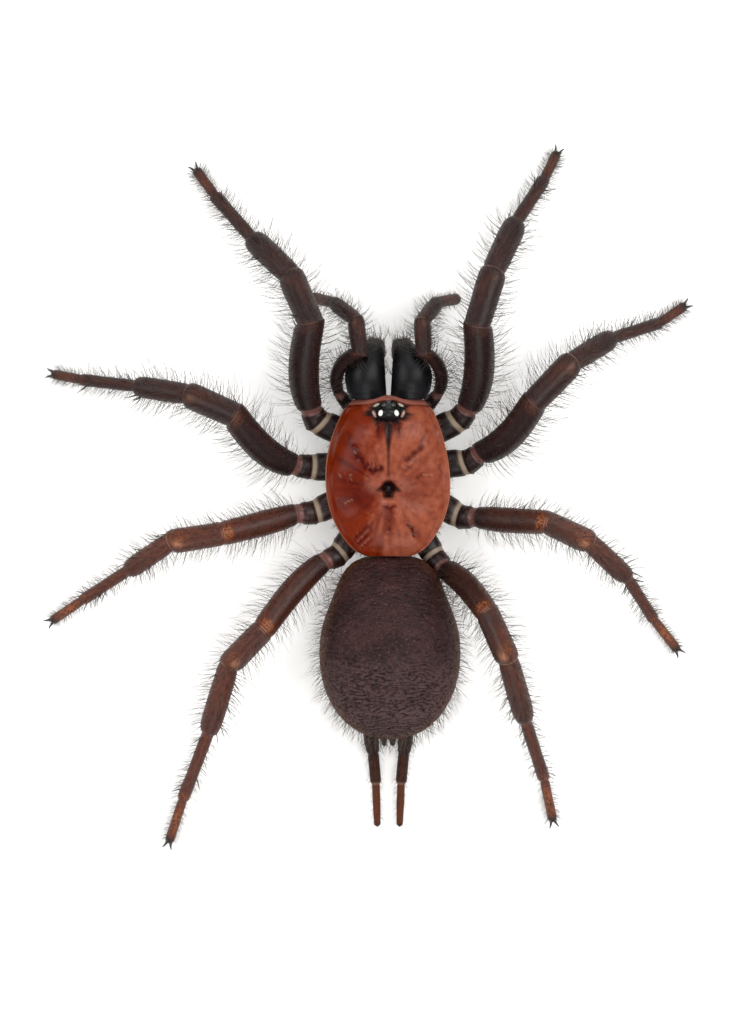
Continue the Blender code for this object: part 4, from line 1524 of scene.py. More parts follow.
@dataclass
class EyeTubercle:
    """The mound near the front edge of the carapace, with its eight eyes."""

    shield: Carapace
    centre_y: float = 5.0
    half_width: float = 1.25
    half_length: float = 0.8
    lift: float = 0.3
    edge: float = 0.25
    rise: float = 0.55

    def surface(self, x: float, ahead: float) -> float:
        """Height of the mound.

        Args:
            x: Place across.
            ahead: Place ahead of the mound's middle.

        Returns:
            Height.
        """
        share = math.hypot(x / self.half_width, ahead / self.half_length)
        plain = self.shield.height(np.array([x]), np.array([self.centre_y + ahead]))[0]
        return float(plain) + self.lift + self.edge + self.rise * max(0.0, 1 - share**2)

    def build(self) -> None:
        """Make the mound and its four pairs of eyes."""
        levels = 24
        turn = turned(72)
        ragged = 1 + 0.05 * np.sin(5 * turn + 1) + 0.03 * np.sin(11 * turn)
        rings = []
        for i in range(levels):
            t = i / (levels - 1)
            scale = (1.02 * math.cos(t * math.pi / 2) + 0.004) * (1 + (ragged - 1) * (1 - t))
            x = self.half_width * scale * np.cos(turn)
            ahead = self.half_length * scale * np.sin(turn)
            top = np.array([self.surface(a, b) for a, b in zip(x, ahead)])
            dip = 0.62 * (1 - math.sin(t * math.pi / 2)) ** 2
            low = top - dip - self.lift * (1 - t)
            rings.append(np.stack((x, self.centre_y + ahead, low), axis=1))
        black = BlackShell("black_cuticle_of_eye_mound", roughness=0.3, gloss=0.25).material()
        mound = MeshMaker.cover("eye_mound", Skin.plain(np.array(rings)), black, "eye")
        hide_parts("eye_tubercle")
        # Each pair: place across, place ahead, radius, size along each axis, turn and two colours
        pairs = (
            ("anterior_median", 0.33, 0.4, 0.17, (1.0, 1.0, 0.9), 0, "#0b0f0c", "#1b221c"),
            ("anterior_lateral", 0.92, 0.42, 0.2, (1.25, 0.62, 0.8), 25, "#a59b86", "#7f7767"),
            ("posterior_lateral", 1.08, -0.25, 0.22, (0.62, 1.3, 0.8), 24, "#8f6350", "#a5857a"),
            # The posterior median eyes are near white: their own pearly colour with a painted glint
            # in it
            ("posterior_median", 0.6, -0.18, 0.195, (0.88, 1.2, 0.9), -15, "#fffdf8", "#efe9e0"),
        )
        for word, across, ahead, radius, size, degrees, colour, cloud in pairs:
            wet = Lens(
                f"wet_lens_{word}", roughness=0.12, coat=0.6, colour=colour, cloud=cloud
            ).material()
            cup = BlackShell(f"rim_of_{word}_eye", roughness=0.3, coat=0.3).material()
            lenses, cups = [], []
            for side in Side:
                height = self.surface(across, ahead) - 0.06
                centre = np.array((side.value * across, self.centre_y + ahead, height))
                angle = math.radians(-side.value * degrees)
                lenses.append(MeshMaker.lens(centre, radius, size, angle))
                cups.append(MeshMaker.ring(centre - UP * 0.03, radius * 1.02, size, angle))
            MeshMaker.place(f"eyes_{word}", MeshMaker.joined(f"eyes_{word}", lenses), wet, "eye")
            MeshMaker.place(f"rims_{word}", MeshMaker.joined(f"rims_{word}", cups), cup, "eye")


@dataclass
class Jaws:
    """The two chelicerae and the fangs folded below them."""

    # Place along, centre across, half width, centre height, half height
    stations: tuple = (
        (6.0, 1.64, 1.3, 4.25, 1.3),
        (6.5, 1.66, 1.42, 4.3, 1.5),
        (6.9, 1.72, 1.48, 4.35, 1.62),
        (7.7, 1.76, 1.53, 4.4, 1.75),
        (8.5, 1.6, 1.33, 4.2, 1.7),
        (9.3, 1.33, 1.0, 3.8, 1.45),
        (9.85, 1.17, 0.78, 3.45, 1.1),
        (10.1, 1.13, 0.66, 3.3, 0.85),
        (10.24, 1.12, 0.42, 3.25, 0.5),
        (10.3, 1.12, 0.1, 3.2, 0.15),
    )
    # Place along, place across, height, radius
    fang: tuple = (
        (9.55, 1.3, 2.25, 0.5),
        (9.55, 1.3, 1.98, 0.5),
        (9.4, 1.3, 1.55, 0.47),
        (8.85, 1.26, 1.15, 0.4),
        (8.0, 1.18, 1.05, 0.31),
        (7.2, 1.06, 1.2, 0.2),
        (6.6, 0.95, 1.5, 0.04),
    )

    def build(self, dice: np.random.Generator, seta: bpy.types.Material) -> None:
        """Make both jaws, both fangs and the jaws' bristles.

        Args:
            dice: Source of chance.
            seta: The hairs' material.
        """
        shell = BlackShell("polished_black_cuticle", roughness=0.38, gloss=0.18).material()
        horn = BlackShell(
            "black_horn", roughness=0.14, coat=0.6, dark="#0a0606", pale="#1c0d0a"
        ).material()
        for side in Side:
            word = side.word
            places = np.linspace(self.stations[0][0], self.stations[-1][0], 60)
            x, width, z, height = smooth(self.stations, places).T
            centres = np.stack((side.value * x, places, z), axis=1)
            skin = Skin.around(centres, width, height, 56)
            self.flatten_inside(skin, side)
            jaw = MeshMaker.cover(f"jaw_{word}", skin, shell, "chelicera")
            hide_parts(f"chelicera_{word}")
            steps = np.linspace(0, len(self.fang) - 1, 40)
            keys = tuple((float(i), *row) for i, row in enumerate(self.fang))
            y, x, z, radius = smooth(keys, steps).T
            centres = np.stack((side.value * x, y, z), axis=1)
            tooth = Skin.around(centres, radius, radius, 24)
            fang = MeshMaker.cover(f"fang_horn_{word}", tooth, horn, "fang_and_claw")
            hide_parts(f"fang_{word}")
            self.bristle(skin, word, dice, seta)

    @staticmethod
    def flatten_inside(skin: Skin, side: Side) -> None:
        """Flatten the inner face, which leaves a narrow gap between the two jaws.

        Args:
            skin: The jaw's skin.
            side: Its side of the body.
        """
        inner = skin.rings[..., 0] * side.value
        middle = inner.mean(axis=1, keepdims=True)
        least = 0.15 + 0.062 * (skin.rings[..., 1] - 6.2)
        reach = middle - inner.min(axis=1, keepdims=True)
        share = np.clip((middle - inner) / reach, 0, 1)
        flat = middle - (middle - least) * np.minimum(1.0, share * 1.12 - 0.06 * share**4)
        skin.rings[..., 0] = np.where(inner < middle, flat, inner) * side.value

    @staticmethod
    def clear(turns: np.ndarray, outward: float) -> np.ndarray:
        """How long hairs are round a jaw, short where they would fill the gap between the jaws.

        Args:
            turns: Places round it.
            outward: The place that faces away from the other jaw.

        Returns:
            Shares of the full length.
        """
        inward = np.cos(2 * math.pi * (turns - outward - 0.5))
        return 1 - 0.7 * ease(0.3, 0.9, inward)

    def bristle(
        self, skin: Skin, word: str, dice: np.random.Generator, seta: bpy.types.Material
    ) -> None:
        """Root the brush on a jaw's front, and the finer hairs on its back.

        Args:
            skin: The jaw's skin.
            word: Its side.
            dice: Source of chance.
            seta: The hairs' material.
        """
        coat = Coat(f"hairs_of_jaw_{word}", dice)
        last = len(skin.rings) - 1
        outward = 0.25 if word == "left" else 0.75
        brush = HairKind(0.34, 0.014, (44, 26), spread=18, tint=(0.1, 1.0))
        place, turns = evenly(dice, 26, 44)
        coat.root(skin, last * (0.76 + 0.23 * place), turns, brush, self.clear(turns, outward))
        fine = HairKind(0.3, 0.011, (22, 10), spread=20, steps=2, tint=(0.3, 1.0))
        place, turns = evenly(dice, 16, 30)
        coat.root(skin, last * (0.5 + 0.3 * place), turns, fine, self.clear(turns, outward))
        long = HairKind(2.0, 0.016, (52, 0), spread=14, steps=5)
        place, turns = evenly(dice, 4, 11)
        coat.root(skin, last * (0.86 + 0.12 * place), 0.34 + 0.32 * turns, long)
        sides = outward + dice.normal(0, 0.05, 26)
        coat.root(skin, last * (0.4 + 0.5 * dice.random(26)), sides, HairKind(0.9, 0.014, (40, 15)))
        coat.piece(seta)


@dataclass
class Abdomen:
    """The soft hind body, wrinkled across, on its narrow waist."""

    centre: tuple = (0.1, -13.15, 4.6)
    half_width: float = 5.36
    half_length: float = 6.72
    front_length: float = 7.25
    half_height: float = 4.1
    roundness: float = 2.15
    front_drop: float = 2.05
    rear_drop: float = 0.9
    rows: int = 330
    facets: int = 230
    # Distance from one wrinkle to the next, and how deep their beds are
    fold_pitch: float = 0.26
    fold_depth: float = 0.2
    # Noise that makes the wrinkles wander, crack and feel gritty: scale along each axis, offset
    rough: tuple = (((0.5, 0.8, 0.5), 0.0), ((1.1, 3.0, 2.0), 7.0), ((4.2, 6.0, 5.0), 3.0))
    # Waist: place along, height, radius
    waist: tuple = (
        (-3.3, 2.6, 0.66),
        (-3.9, 2.6, 0.62),
        (-4.9, 2.7, 0.55),
        (-5.88, 2.85, 0.5),
        (-7.2, 3.2, 0.55),
    )

    def skin(self) -> Skin:
        """The wrinkled skin.

        Returns:
            Rings from front to rear.
        """
        end = math.radians(1.2)
        place = np.cos(np.linspace(end, math.pi - end, self.rows))
        power = np.where(place > 0, 1 / 3, 1 / self.roundness)
        size = (1 - np.abs(place) ** self.roundness) ** power
        slim = 1 - 0.1 * bump(place, 0.62, 0.32)
        drop = np.where(place > 0, self.front_drop, self.rear_drop) * place**2
        turn = turned(self.facets) - math.pi / 2
        length = np.where(place > 0, self.front_length, self.half_length)
        cx, cy, cz = self.centre
        x = cx + self.half_width * (size * slim)[:, None] * np.cos(turn)
        y = (cy + length * place)[:, None]
        z = (cz - drop)[:, None] + self.half_height * size[:, None] * np.sin(turn)
        points = np.stack(np.broadcast_arrays(x, y, z), axis=-1)
        slopes = (
            np.cos(turn) * size[:, None] / self.half_width,
            (np.sign(place) * np.abs(place) ** 1.15 / length)[:, None],
            np.sin(turn) * size[:, None] / self.half_height,
        )
        normals = unit(np.stack(np.broadcast_arrays(*slopes), axis=-1))
        folds = self.folds(points)
        sunk = points + normals * ((folds[..., None] - 1) * self.fold_depth)
        return Skin(sunk, self.tones(points, normals, folds))

    def folds(self, points: np.ndarray) -> np.ndarray:
        """Height of the wrinkles, 0 in their beds and 1 on their backs.

        Args:
            points: Points of the plain skin.

        Returns:
            Heights.
        """
        flat = points.reshape(-1, 3)
        coarse, fine, grit = (
            np.array([noise.noise(Vector(point)) for point in flat * scale + offset])
            for scale, offset in self.rough
        )
        across = flat[:, 0] - self.centre[0]
        back = -(flat[:, 1] - self.centre[1])
        bow = 0.02 * across**2
        phase = math.pi * (back - bow + 0.55 * coarse + 0.24 * fine) / self.fold_pitch
        ridge = np.abs(np.sin(phase)) ** 0.6
        reach = ease(-2.0, 2.6, back) * (1 - 0.7 * ease(2.4, 4.4, np.abs(across)))
        patchy = np.clip(0.75 + 1.2 * coarse, 0.35, 1)
        cells = 1 - np.abs(fine) * 1.3
        wave = reach * patchy
        body = wave * ridge + (1 - wave) * (0.5 + 0.5 * cells)
        return np.clip(body + 0.5 * grit, 0, 1).reshape(points.shape[:2])

    def tones(self, points: np.ndarray, normals: np.ndarray, folds: np.ndarray) -> np.ndarray:
        """Brown rim, wrinkle depth for painted shade in the beds, book lungs and a painted highlight
        on the crests.

        Args:
            points: Points of the plain skin.
            normals: Its outward directions.
            folds: Height of the wrinkles.

        Returns:
            The masks.
        """
        rim = 0.9 * (1 - ease(0.15, 0.68, np.abs(normals[..., 2])))
        # Mask of the painted shade in the wrinkles' beds
        depth = ease(0.2, 0.75, 1 - folds)
        x, y = points[..., 0] - self.centre[0], points[..., 1] - self.centre[1]
        # Painted highlight on the wrinkles' crests, over the rear half
        crest_highlights = 0.75 * ease(0.6, 0.95, folds) * ease(0.5, -2.5, y) * (1 - 0.8 * rim)
        rows = np.maximum(plateau(y, 4.1, 0.62), plateau(y, 2.0, 0.62))
        lungs = 0.8 * plateau(np.abs(x), 1.9, 1.05) * rows * (normals[..., 2] < 0)
        return np.stack((rim, depth, lungs, crest_highlights, 0 * rim, 0 * rim), axis=-1)

    def build(
        self, dice: np.random.Generator, seta: bpy.types.Material, brown: bpy.types.Material
    ) -> None:
        """Make the abdomen, its waist and its hairs.

        Args:
            dice: Source of chance.
            seta: The dark hairs' material.
            brown: The lighter down's material.
        """
        leather = AbdomenSkin("leathery_purple_brown_skin", roughness=0.5, gloss=0.15).material()
        skin = self.skin()
        bag = MeshMaker.cover("abdomen_skin", skin, leather, "abdomen")
        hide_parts("abdomen")
        y = np.linspace(self.waist[0][0], self.waist[-1][0], 24)
        z, radius = smooth(tuple((-place, *row) for place, *row in self.waist), -y).T
        ribs = 1 + 0.06 * np.cos(y * 9)
        stalk = Skin.around(np.stack((0 * y, y, z), axis=1), radius * ribs, radius * ribs, 32)
        stalk.tones[..., 0] = 0.6
        dull = LegShell(
            "dull_brown_cuticle", roughness=0.5, dark="#2a1a14", warm="#6b4330"
        ).material()
        waist = MeshMaker.cover("waist", stalk, dull, "underside")
        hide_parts("pedicel")
        self.fur(skin, dice, seta, brown)

    def fur(
        self,
        skin: Skin,
        dice: np.random.Generator,
        seta: bpy.types.Material,
        brown: bpy.types.Material,
    ) -> None:
        """Root the fringe, the long hairs and the down.

        Args:
            skin: The wrinkled skin.
            dice: Source of chance.
            seta: The dark hairs' material.
            brown: The lighter down's material.
        """
        last = len(skin.rings) - 1
        coat = Coat("hairs_of_abdomen", dice)
        fringe = HairKind(
            1.45, 0.0145, (76, 50), spread=10, scatter=0.25, steps=4, tint=(0.2, 0.9)
        )
        for middle in (0.25, 0.75):
            turns, place = evenly(dice, 5, 74)
            coat.root(skin, last * (0.2 + 0.62 * place), middle - 0.085 + 0.17 * turns, fringe)
        turns, place = evenly(dice, 44, 9)
        coat.root(skin, last * (0.8 + 0.17 * place), turns, fringe)
        place, turns = evenly(dice, 20, 16)
        long = HairKind(0.55, 0.0125, (34, 16), spread=24)
        coat.root(skin, last * (0.1 + 0.85 * place), turns, long)
        coat.piece(seta)
        down = Coat("down_of_abdomen", dice)
        count = 7000
        rows = last * np.arccos(1 - 2 * dice.uniform(0.012, 0.99, count)) / math.pi
        fine = HairKind(0.17, 0.0095, (24, 10), spread=26, steps=2)
        down.root(skin, rows, dice.random(count), fine)
        down.piece(brown)


@dataclass
class Spinnerets:
    """The long hind pair in three joints each, and the short pair between them."""

    root: tuple = (1.35, -19.55, 2.45)
    # Each joint's length, heading to the rear and height of its far end
    joints: tuple = ((1.4, -8.0, 2.2), (2.35, -5.0, 1.7), (3.4, -2.0, 1.1))
    # Each joint's radius at its near end, middle and far end
    radii: tuple = ((0.55, 0.55, 0.46), (0.42, 0.42, 0.42), (0.3, 0.3, 0.24))
    warmths: tuple = (0.1, 0.25, 0.85)
    # Rings in a joint
    steps: int = 22
    wall: tuple = (0.0, -0.86, -0.51)

    def build(self, dice: np.random.Generator, seta: bpy.types.Material) -> None:
        """Make both pairs and their hairs.

        Args:
            dice: Source of chance.
            seta: The hairs' material.
        """
        shell = LegShell(
            "brown_skin_of_spinnerets",
            roughness=0.5,
            gloss=0.15,
            dark="#1c0803",
            warm="#6a351a",
            membrane="#8f6a58",
            streak="#2c110a",
        ).material()
        long = HairKind(0.66, 0.012, (62, 34), spread=14, tint=(0.0, 0.3))
        short = HairKind(0.24, 0.009, (22, 8), spread=16, steps=2, tint=(0.0, 0.2))
        coat = Coat("hairs_of_spinnerets", dice)
        for side in Side:
            skin = self.arm(side)
            arm = MeshMaker.cover(f"spinneret_arm_{side.word}", skin, shell, "spinneret")
            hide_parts(f"spinneret_{side.word}")
            last = len(skin.rings) - 1
            turns, place = evenly(dice, 9, 46)
            coat.root(skin, 3 + (last - 4) * place, turns, long)
            turns, place = evenly(dice, 12, 60)
            coat.root(skin, 3 + (last - 3) * place, turns, short)
        pad = MeshMaker.place("spinnerets_short_pair", self.short_pair(), shell, "spinneret")
        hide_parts("spinnerets_median")
        coat.piece(seta)

    def arm(self, side: Side) -> Skin:
        """One long spinneret.

        Args:
            side: Its side of the body.

        Returns:
            Its skin, pinched at its joints.
        """
        x, y, z = self.root
        point = np.array((side.value * x, y, z))
        centres, sizes = [point - np.array(self.wall) * 0.5], [self.radii[0][0]]
        tones = [(0,) * MASKS]
        t = np.arange(1, self.steps + 1) / self.steps
        for i, (length, heading, height) in enumerate(self.joints):
            far = next_point(point, side, length, 180 - heading, height)
            pinch = 1 - 0.2 * bump(t, 1.0, 0.035) * (i < 2) - 0.2 * bump(t, 0.0, 0.04) * (i > 0)
            if i == 2:
                pinch *= np.sqrt(np.maximum(0.02, 1 - np.clip((t - 0.92) / 0.08, 0, None) ** 2))
            centres += list(point + (far - point) * t[:, None])
            sizes += list(np.interp(t, (0.0, 0.45, 1.0), self.radii[i]) * pinch)
            membrane = 0.8 * bump(t, 1.0, 0.04) * (i == 1)
            warm = self.warmths[i] - 0.5 * (i == 2) * ease(0.86, 0.95, t)
            tones += [(a, b, 0.1, 0, 0, 0) for a, b in zip(warm, membrane)]
            point = far
        sizes = np.array(sizes)
        skin = Skin.around(np.array(centres), sizes, sizes, 28)
        skin.tones[:] = np.clip(np.array(tones), 0, 1)[:, None]
        return skin

    def short_pair(self) -> bpy.types.Mesh:
        """The short spinnerets on their small pad.

        Returns:
            Their mesh.
        """
        away = np.array(self.wall)
        bodies = []
        for side in Side:
            start = np.array((side.value * 0.33, -19.0, 1.85))
            t = np.linspace(0, 1, 16)
            centres = start + away * 0.2 + t[:, None] * np.array((0.0, -1.25, -0.42))
            sizes = 0.31 * (1 - 0.55 * t**2) * (1 - np.clip((t - 0.9) / 0.1, 0, 1) ** 2 * 0.8)
            skin = Skin.around(centres, sizes, sizes, 20)
            skin.tones[..., 0] = 0.3
            bodies.append(MeshMaker.wrap(skin))
        return MeshMaker.joined("spinnerets_short_pair", bodies)


@dataclass
class Underside:
    """The sternum plate and the body's core between the legs."""

    half_width: float = 2.2
    half_length: float = 3.6
    roundness: float = 2.5
    facets: int = 96
    # Height, and size there as a share of the half width and half length
    levels: tuple = (
        (1.22, 0.03),
        (1.23, 0.3),
        (1.27, 0.55),
        (1.36, 0.76),
        (1.5, 0.92),
        (1.75, 1.0),
        (3.0, 1.02),
        (4.4, 1.0),
    )

    def build(self, dice: np.random.Generator, seta: bpy.types.Material) -> None:
        """Make the core and the hairs of its lower face.

        Args:
            dice: Source of chance.
            seta: The hairs' material.
        """
        across, along = np.cos(turned(self.facets)), np.sin(turned(self.facets))
        power = 2 / self.roundness
        x = np.sign(across) * np.abs(across) ** power * self.half_width
        y = np.sign(along) * np.abs(along) ** power * self.half_length
        at, sizes = np.array(self.levels).T
        steps = [np.linspace(low, high, 8)[:-1] for low, high in zip(at, at[1:])]
        height = np.concatenate((*steps, at[-1:]))[:, None]
        scale = np.interp(height, at, sizes)
        rings = np.stack(np.broadcast_arrays(x * scale, y * scale, height), axis=-1)
        skin = Skin.plain(rings)
        skin.tones[..., 0] = 0.75
        skin.tones[..., 1] = 0.35 * ease(2.2, 3.2, rings[..., 2])
        dull = LegShell(
            "brown_cuticle_of_sternum", roughness=0.42, dark="#2f1a12", warm="#7a4128"
        ).material()
        core = MeshMaker.cover("sternum_and_core", skin, dull, "underside")
        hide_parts("sternum")
        coat = Coat("hairs_of_sternum", dice)
        count = 900
        rows = dice.uniform(6, 34, count)
        points, _, normals = skin.at(rows, dice.random(count))
        normals = unit(normals * (1, 1, 0.2) - UP)
        along = unit(np.broadcast_to((0.0, -1.0, -0.2), points.shape))
        patches = np.clip(0.5 + points[:, :2] * 0.1, 0.02, 0.98)
        coat.root_at(points, along, normals, patches, HairKind(0.6, 0.014, (50, 30), spread=26))
        coat.piece(seta)


# Limbs


class JointKind(Enum):
    """The joints of a limb, from the body outwards."""

    COXA = 0
    TROCHANTER = 1
    FEMUR = 2
    PATELLA = 3
    TIBIA = 4
    METATARSUS = 5
    TARSUS = 6


# How thick a joint is along its length, as a share of its half width, with its necks
SHAPES = {
    JointKind.COXA: (
        (0.0, 0.7),
        (0.25, 0.88),
        (0.6, 1.0),
        (0.84, 1.0),
        (0.88, 0.93),
        (0.98, 0.9),
        (1.0, 0.93),
    ),
    JointKind.TROCHANTER: (
        (0.0, 0.98),
        (0.06, 1.02),
        (0.4, 1.0),
        (0.6, 0.98),
        (0.68, 0.88),
        (1.0, 0.84),
    ),
    JointKind.FEMUR: (
        (0.0, 0.68),
        (0.02, 0.8),
        (0.07, 0.88),
        (0.35, 1.0),
        (0.7, 0.99),
        (0.93, 0.96),
        (0.985, 0.92),
        (1.0, 0.86),
    ),
    JointKind.PATELLA: (
        (0.0, 0.94),
        (0.03, 0.97),
        (0.16, 0.98),
        (0.5, 1.0),
        (0.85, 1.01),
        (0.95, 0.94),
        (1.0, 0.8),
    ),
    JointKind.TIBIA: (
        (0.0, 0.86),
        (0.04, 0.92),
        (0.14, 0.97),
        (0.5, 1.0),
        (0.8, 0.99),
        (0.9, 0.93),
        (0.97, 0.82),
        (1.0, 0.7),
    ),
    JointKind.METATARSUS: (
        (0.0, 1.08),
        (0.05, 0.97),
        (0.2, 1.0),
        (0.55, 0.96),
        (0.9, 1.0),
        (0.975, 0.94),
        (1.0, 0.76),
    ),
    JointKind.TARSUS: (
        (0.0, 0.86),
        (0.04, 0.94),
        (0.15, 1.0),
        (0.5, 1.0),
        (0.82, 1.02),
        (0.93, 0.94),
        (0.98, 0.7),
        (1.0, 0.25),
    ),
}


@dataclass(frozen=True)
class JointCoat:
    """How hairy a joint is.

    Long and short hairs each have a number round the limb, a number along it and a length.
    """

    long: tuple[int, int, float]
    short: tuple[int, int, float]
    spines: int = 0


COATS = {
    JointKind.COXA: JointCoat((5, 4, 0.6), (4, 3, 0.2)),
    JointKind.TROCHANTER: JointCoat((8, 4, 1.0), (5, 3, 0.2)),
    JointKind.FEMUR: JointCoat((12, 24, 2.35), (30, 52, 0.36), 2),
    JointKind.PATELLA: JointCoat((12, 15, 2.2), (30, 34, 0.36), 2),
    JointKind.TIBIA: JointCoat((12, 18, 2.0), (30, 40, 0.38), 7),
    JointKind.METATARSUS: JointCoat((11, 20, 1.4), (24, 46, 0.36), 8),
    JointKind.TARSUS: JointCoat((11, 16, 0.85), (18, 32, 0.3)),
}


@dataclass
class Limb:
    """A leg or a palp: one skin from body to tip, with its claws and its hairs."""

    name: str
    side: Side
    nodes: tuple[str, ...]
    warmth: float
    patches: float = 0.0
    hairiness: float = 1.0
    facets: int = 40
    skin: Skin | None = None
    rows: dict = field(default_factory=dict)

    def add(
        self,
        kind: JointKind,
        centres: np.ndarray,
        half_width: float,
        tallness: float,
        start_normal: np.ndarray,
        end_normal: np.ndarray | None,
    ) -> None:
        """Carry the skin on over one joint.

        Args:
            kind: Which joint it is.
            centres: Points along its axis.
            half_width: Its half width.
            tallness: Its height as a share of its width.
            start_normal: Normal of the plane where it starts.
            end_normal: Normal of the plane where it ends, or None at the limb's tip.
        """
        share = shares_along(centres)
        size = smooth(SHAPES[kind], share)[:, 0] * half_width
        part = Skin.around(centres, size, size * tallness, self.facets, start_normal, end_normal)
        part.tones[:] = self.tones(kind, share)
        first = 0 if self.skin is None else len(self.skin.rings) - 1
        self.rows[kind] = (first, first + len(centres) - 1)
        self.skin = part if self.skin is None else self.skin.joined(part)

    def tones(self, kind: JointKind, share: np.ndarray) -> np.ndarray:
        """The masks of a joint's finish.

        Args:
            kind: Which joint it is.
            share: Places along it.

        Returns:
            Warmth, beige membrane, polish, pink membrane, orange mottle and pale line.
        """
        turn = np.arange(self.facets) / self.facets
        top = np.clip(-np.cos(2 * math.pi * turn), 0, 1)
        ahead = (0.5 - turn) * self.side.value
        crown = ease(0.35, 0.9, top)
        rows = share[:, None]
        warm = np.full((len(share), self.facets), self.warmth)
        beige, bare, pink, mottle, line = (np.zeros(warm.shape) for _ in range(MASKS - 1))
        if kind is JointKind.COXA:
            beige += 0.95 * window(rows, (0.87, 0.89), (0.955, 0.97))
            bare += 0.75 + 0.25 * top
            warm -= 0.3
        elif kind is JointKind.TROCHANTER:
            pink += 0.95 * ease(0.72, 0.77, rows - 0.12 * (1 - top) ** 2)
            bare += 0.8 * top
            warm -= 0.4
        elif kind is JointKind.FEMUR:
            edge = rows + 0.02 * np.cos(4 * math.pi * turn)
            patch = ease(0.88, 0.92, edge) * (1 - ease(0.965, 0.975, rows))
            worn = plateau(ahead, 0.055, 0.13) * window(rows, (0.03, 0.1), (0.85, 0.95))
            pink += 0.95 * (1 - ease(0.04, 0.06, rows + 0.05 * (1 - top) ** 2))
            mottle += 0.9 * self.patches * plateau(ahead, 0.0, 0.1) * patch
            line += (0.1 + 0.7 * self.patches) * ease(0.82, 0.96, top) * bump(rows, 0.986, 0.0045)
            bare += (0.95 - 0.8 * self.warmth) * worn
            warm += 0.25 * self.patches * ease(0.6, 0.95, rows) - 0.4 * (1 - ease(0.02, 0.35, rows))
        elif kind is JointKind.PATELLA:
            glow = bump(ahead, -0.04, 0.1) * bump(rows, 0.62, 0.26)
            fold = plateau(ahead, 0.05, 0.05) * bump(rows, 0.82, 0.09)
            near = ease(0.88, 0.98, top) * bump(rows, 0.015, 0.006)
            far = ease(0.3, 0.8, top) * bump(rows, 0.96 + 0.03 * top, 0.008)
            warm += (0.6 + 0.6 * self.patches) * glow
            bare += 0.35 * glow + 0.7 * (1 - self.warmth) * plateau(ahead, 0.05, 0.1)
            mottle += 0.5 * self.patches * glow * ease(0.45, 0.8, rows)
            line += self.patches * (0.7 * fold + 0.6 * near) + (0.25 + 0.6 * self.patches) * far
        elif kind is JointKind.TIBIA:
            worn = plateau(ahead, 0.05, 0.09) * ease(0.05, 0.2, rows)
            warm += 0.3 * bump(rows, 0.3, 0.35) * top
            bare += 0.6 * (1 - self.warmth) * worn
            pink += 0.6 * ease(0.975, 0.99, rows) * (1 - 0.7 * crown)
        elif kind is JointKind.METATARSUS:
            behind = ahead < -0.1
            pink += (0.5 + 0.5 * behind) * (1 - ease(0.02, 0.045, rows + 0.03 * ~behind))
            warm += 0.15 + 0.5 * bump(turn, 0.47, 0.06) * (1 - ease(0.6, 0.9, rows))
            mottle += 0.6 * self.patches * crown * bump(rows, 0.94, 0.05)
        else:
            warm += 0.3 + 0.85 * bump(turn, 0.5, 0.14) * ease(0.06, 0.16, rows)
            warm -= 2.0 * ease(0.76, 0.92, rows)
            mottle += (0.2 + 0.6 * self.patches) * crown * bump(rows, 0.42, 0.3)
        return np.clip(np.stack((warm, beige, bare, pink, mottle, line), axis=-1), 0, 1)

    def dress(self, shell: bpy.types.Material) -> None:
        """Make the skin's piece, in place of the limb's nodes.

        Args:
            shell: The cuticle's material.
        """
        self.skin.rings[..., 2] = np.maximum(self.skin.rings[..., 2], 0.0)
        slot = "leg_red_brown" if self.warmth > 0.3 else "leg_black_brown"
        piece = MeshMaker.cover(self.name, self.skin, shell, slot)
        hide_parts(*self.nodes)

    def furred(
        self, dice: np.random.Generator, seta: bpy.types.Material, scale: float = 1.0
    ) -> None:
        """Root the limb's hairs and spines.

        Args:
            dice: Source of chance.
            seta: The hairs' material.
            scale: Size of the hairs, as a share of a leg's.
        """
        coat = Coat(f"hairs_of_{self.name}", dice)
        fewer = 0.4 + 0.6 * scale
        for kind, (first, last) in self.rows.items():
            wear, span = COATS[kind], last - first
            around, along, length = wear.long
            turns, place = evenly(dice, around, max(2, int(along * fewer)))
            rows = first + span * self.placed(0.03 + 0.94 * place)
            size = scale * self.hairiness * (1 - 0.2 * np.clip(-np.cos(2 * math.pi * turns), 0, 1))
            long = HairKind(length, 0.0165, (76, 42), spread=12, steps=5, tint=(0.0, 0.6))
            coat.root(self.skin, rows, turns, long, size)
            around, along, length = wear.short
            turns, place = evenly(dice, around, max(3, int(along * fewer)))
            rows = first + span * self.placed(0.02 + 0.96 * place)
            short = HairKind(length, 0.012, (17, 5), spread=13, steps=2, tint=(0.1, 0.8))
            coat.root(self.skin, rows, turns, short)
            if wear.spines and scale == 1.0:
                count = wear.spines
                rows = first + span * dice.uniform(0.15, 0.95, count)
                spine = HairKind(0.95, 0.05, (46, 34), spread=8, scatter=0.12, tint=(0.0, 0.05))
                sides = np.where(dice.random(count) < 0.5, 0.27, 0.73) + dice.normal(0, 0.06, count)
                coat.root(self.skin, rows, sides, spine)
        coat.piece(seta)

    @staticmethod
    def placed(share: np.ndarray) -> np.ndarray:
        """Where along a joint's rings a share of its length lies: they crowd at its ends.

        Args:
            share: Shares of the length.

        Returns:
            Shares of the rings.
        """
        table = np.linspace(0, 1, 200)
        return np.interp(share, Limb.spaced(table), table)

    @staticmethod
    def spaced(share: np.ndarray) -> np.ndarray:
        """Shares of a joint's length that crowd towards its two ends.

        Args:
            share: Even shares.

        Returns:
            Crowded shares.
        """
        return share - 0.72 * np.sin(2 * math.pi * share) / (2 * math.pi)

    @staticmethod
    def line(start: np.ndarray, end: np.ndarray, count: int) -> np.ndarray:
        """Points on a straight joint, crowded towards its ends.

        Args:
            start: Its near end.
            end: Its far end.
            count: Number of points.

        Returns:
            The points.
        """
        return start + (end - start) * Limb.spaced(np.linspace(0, 1, count))[:, None]


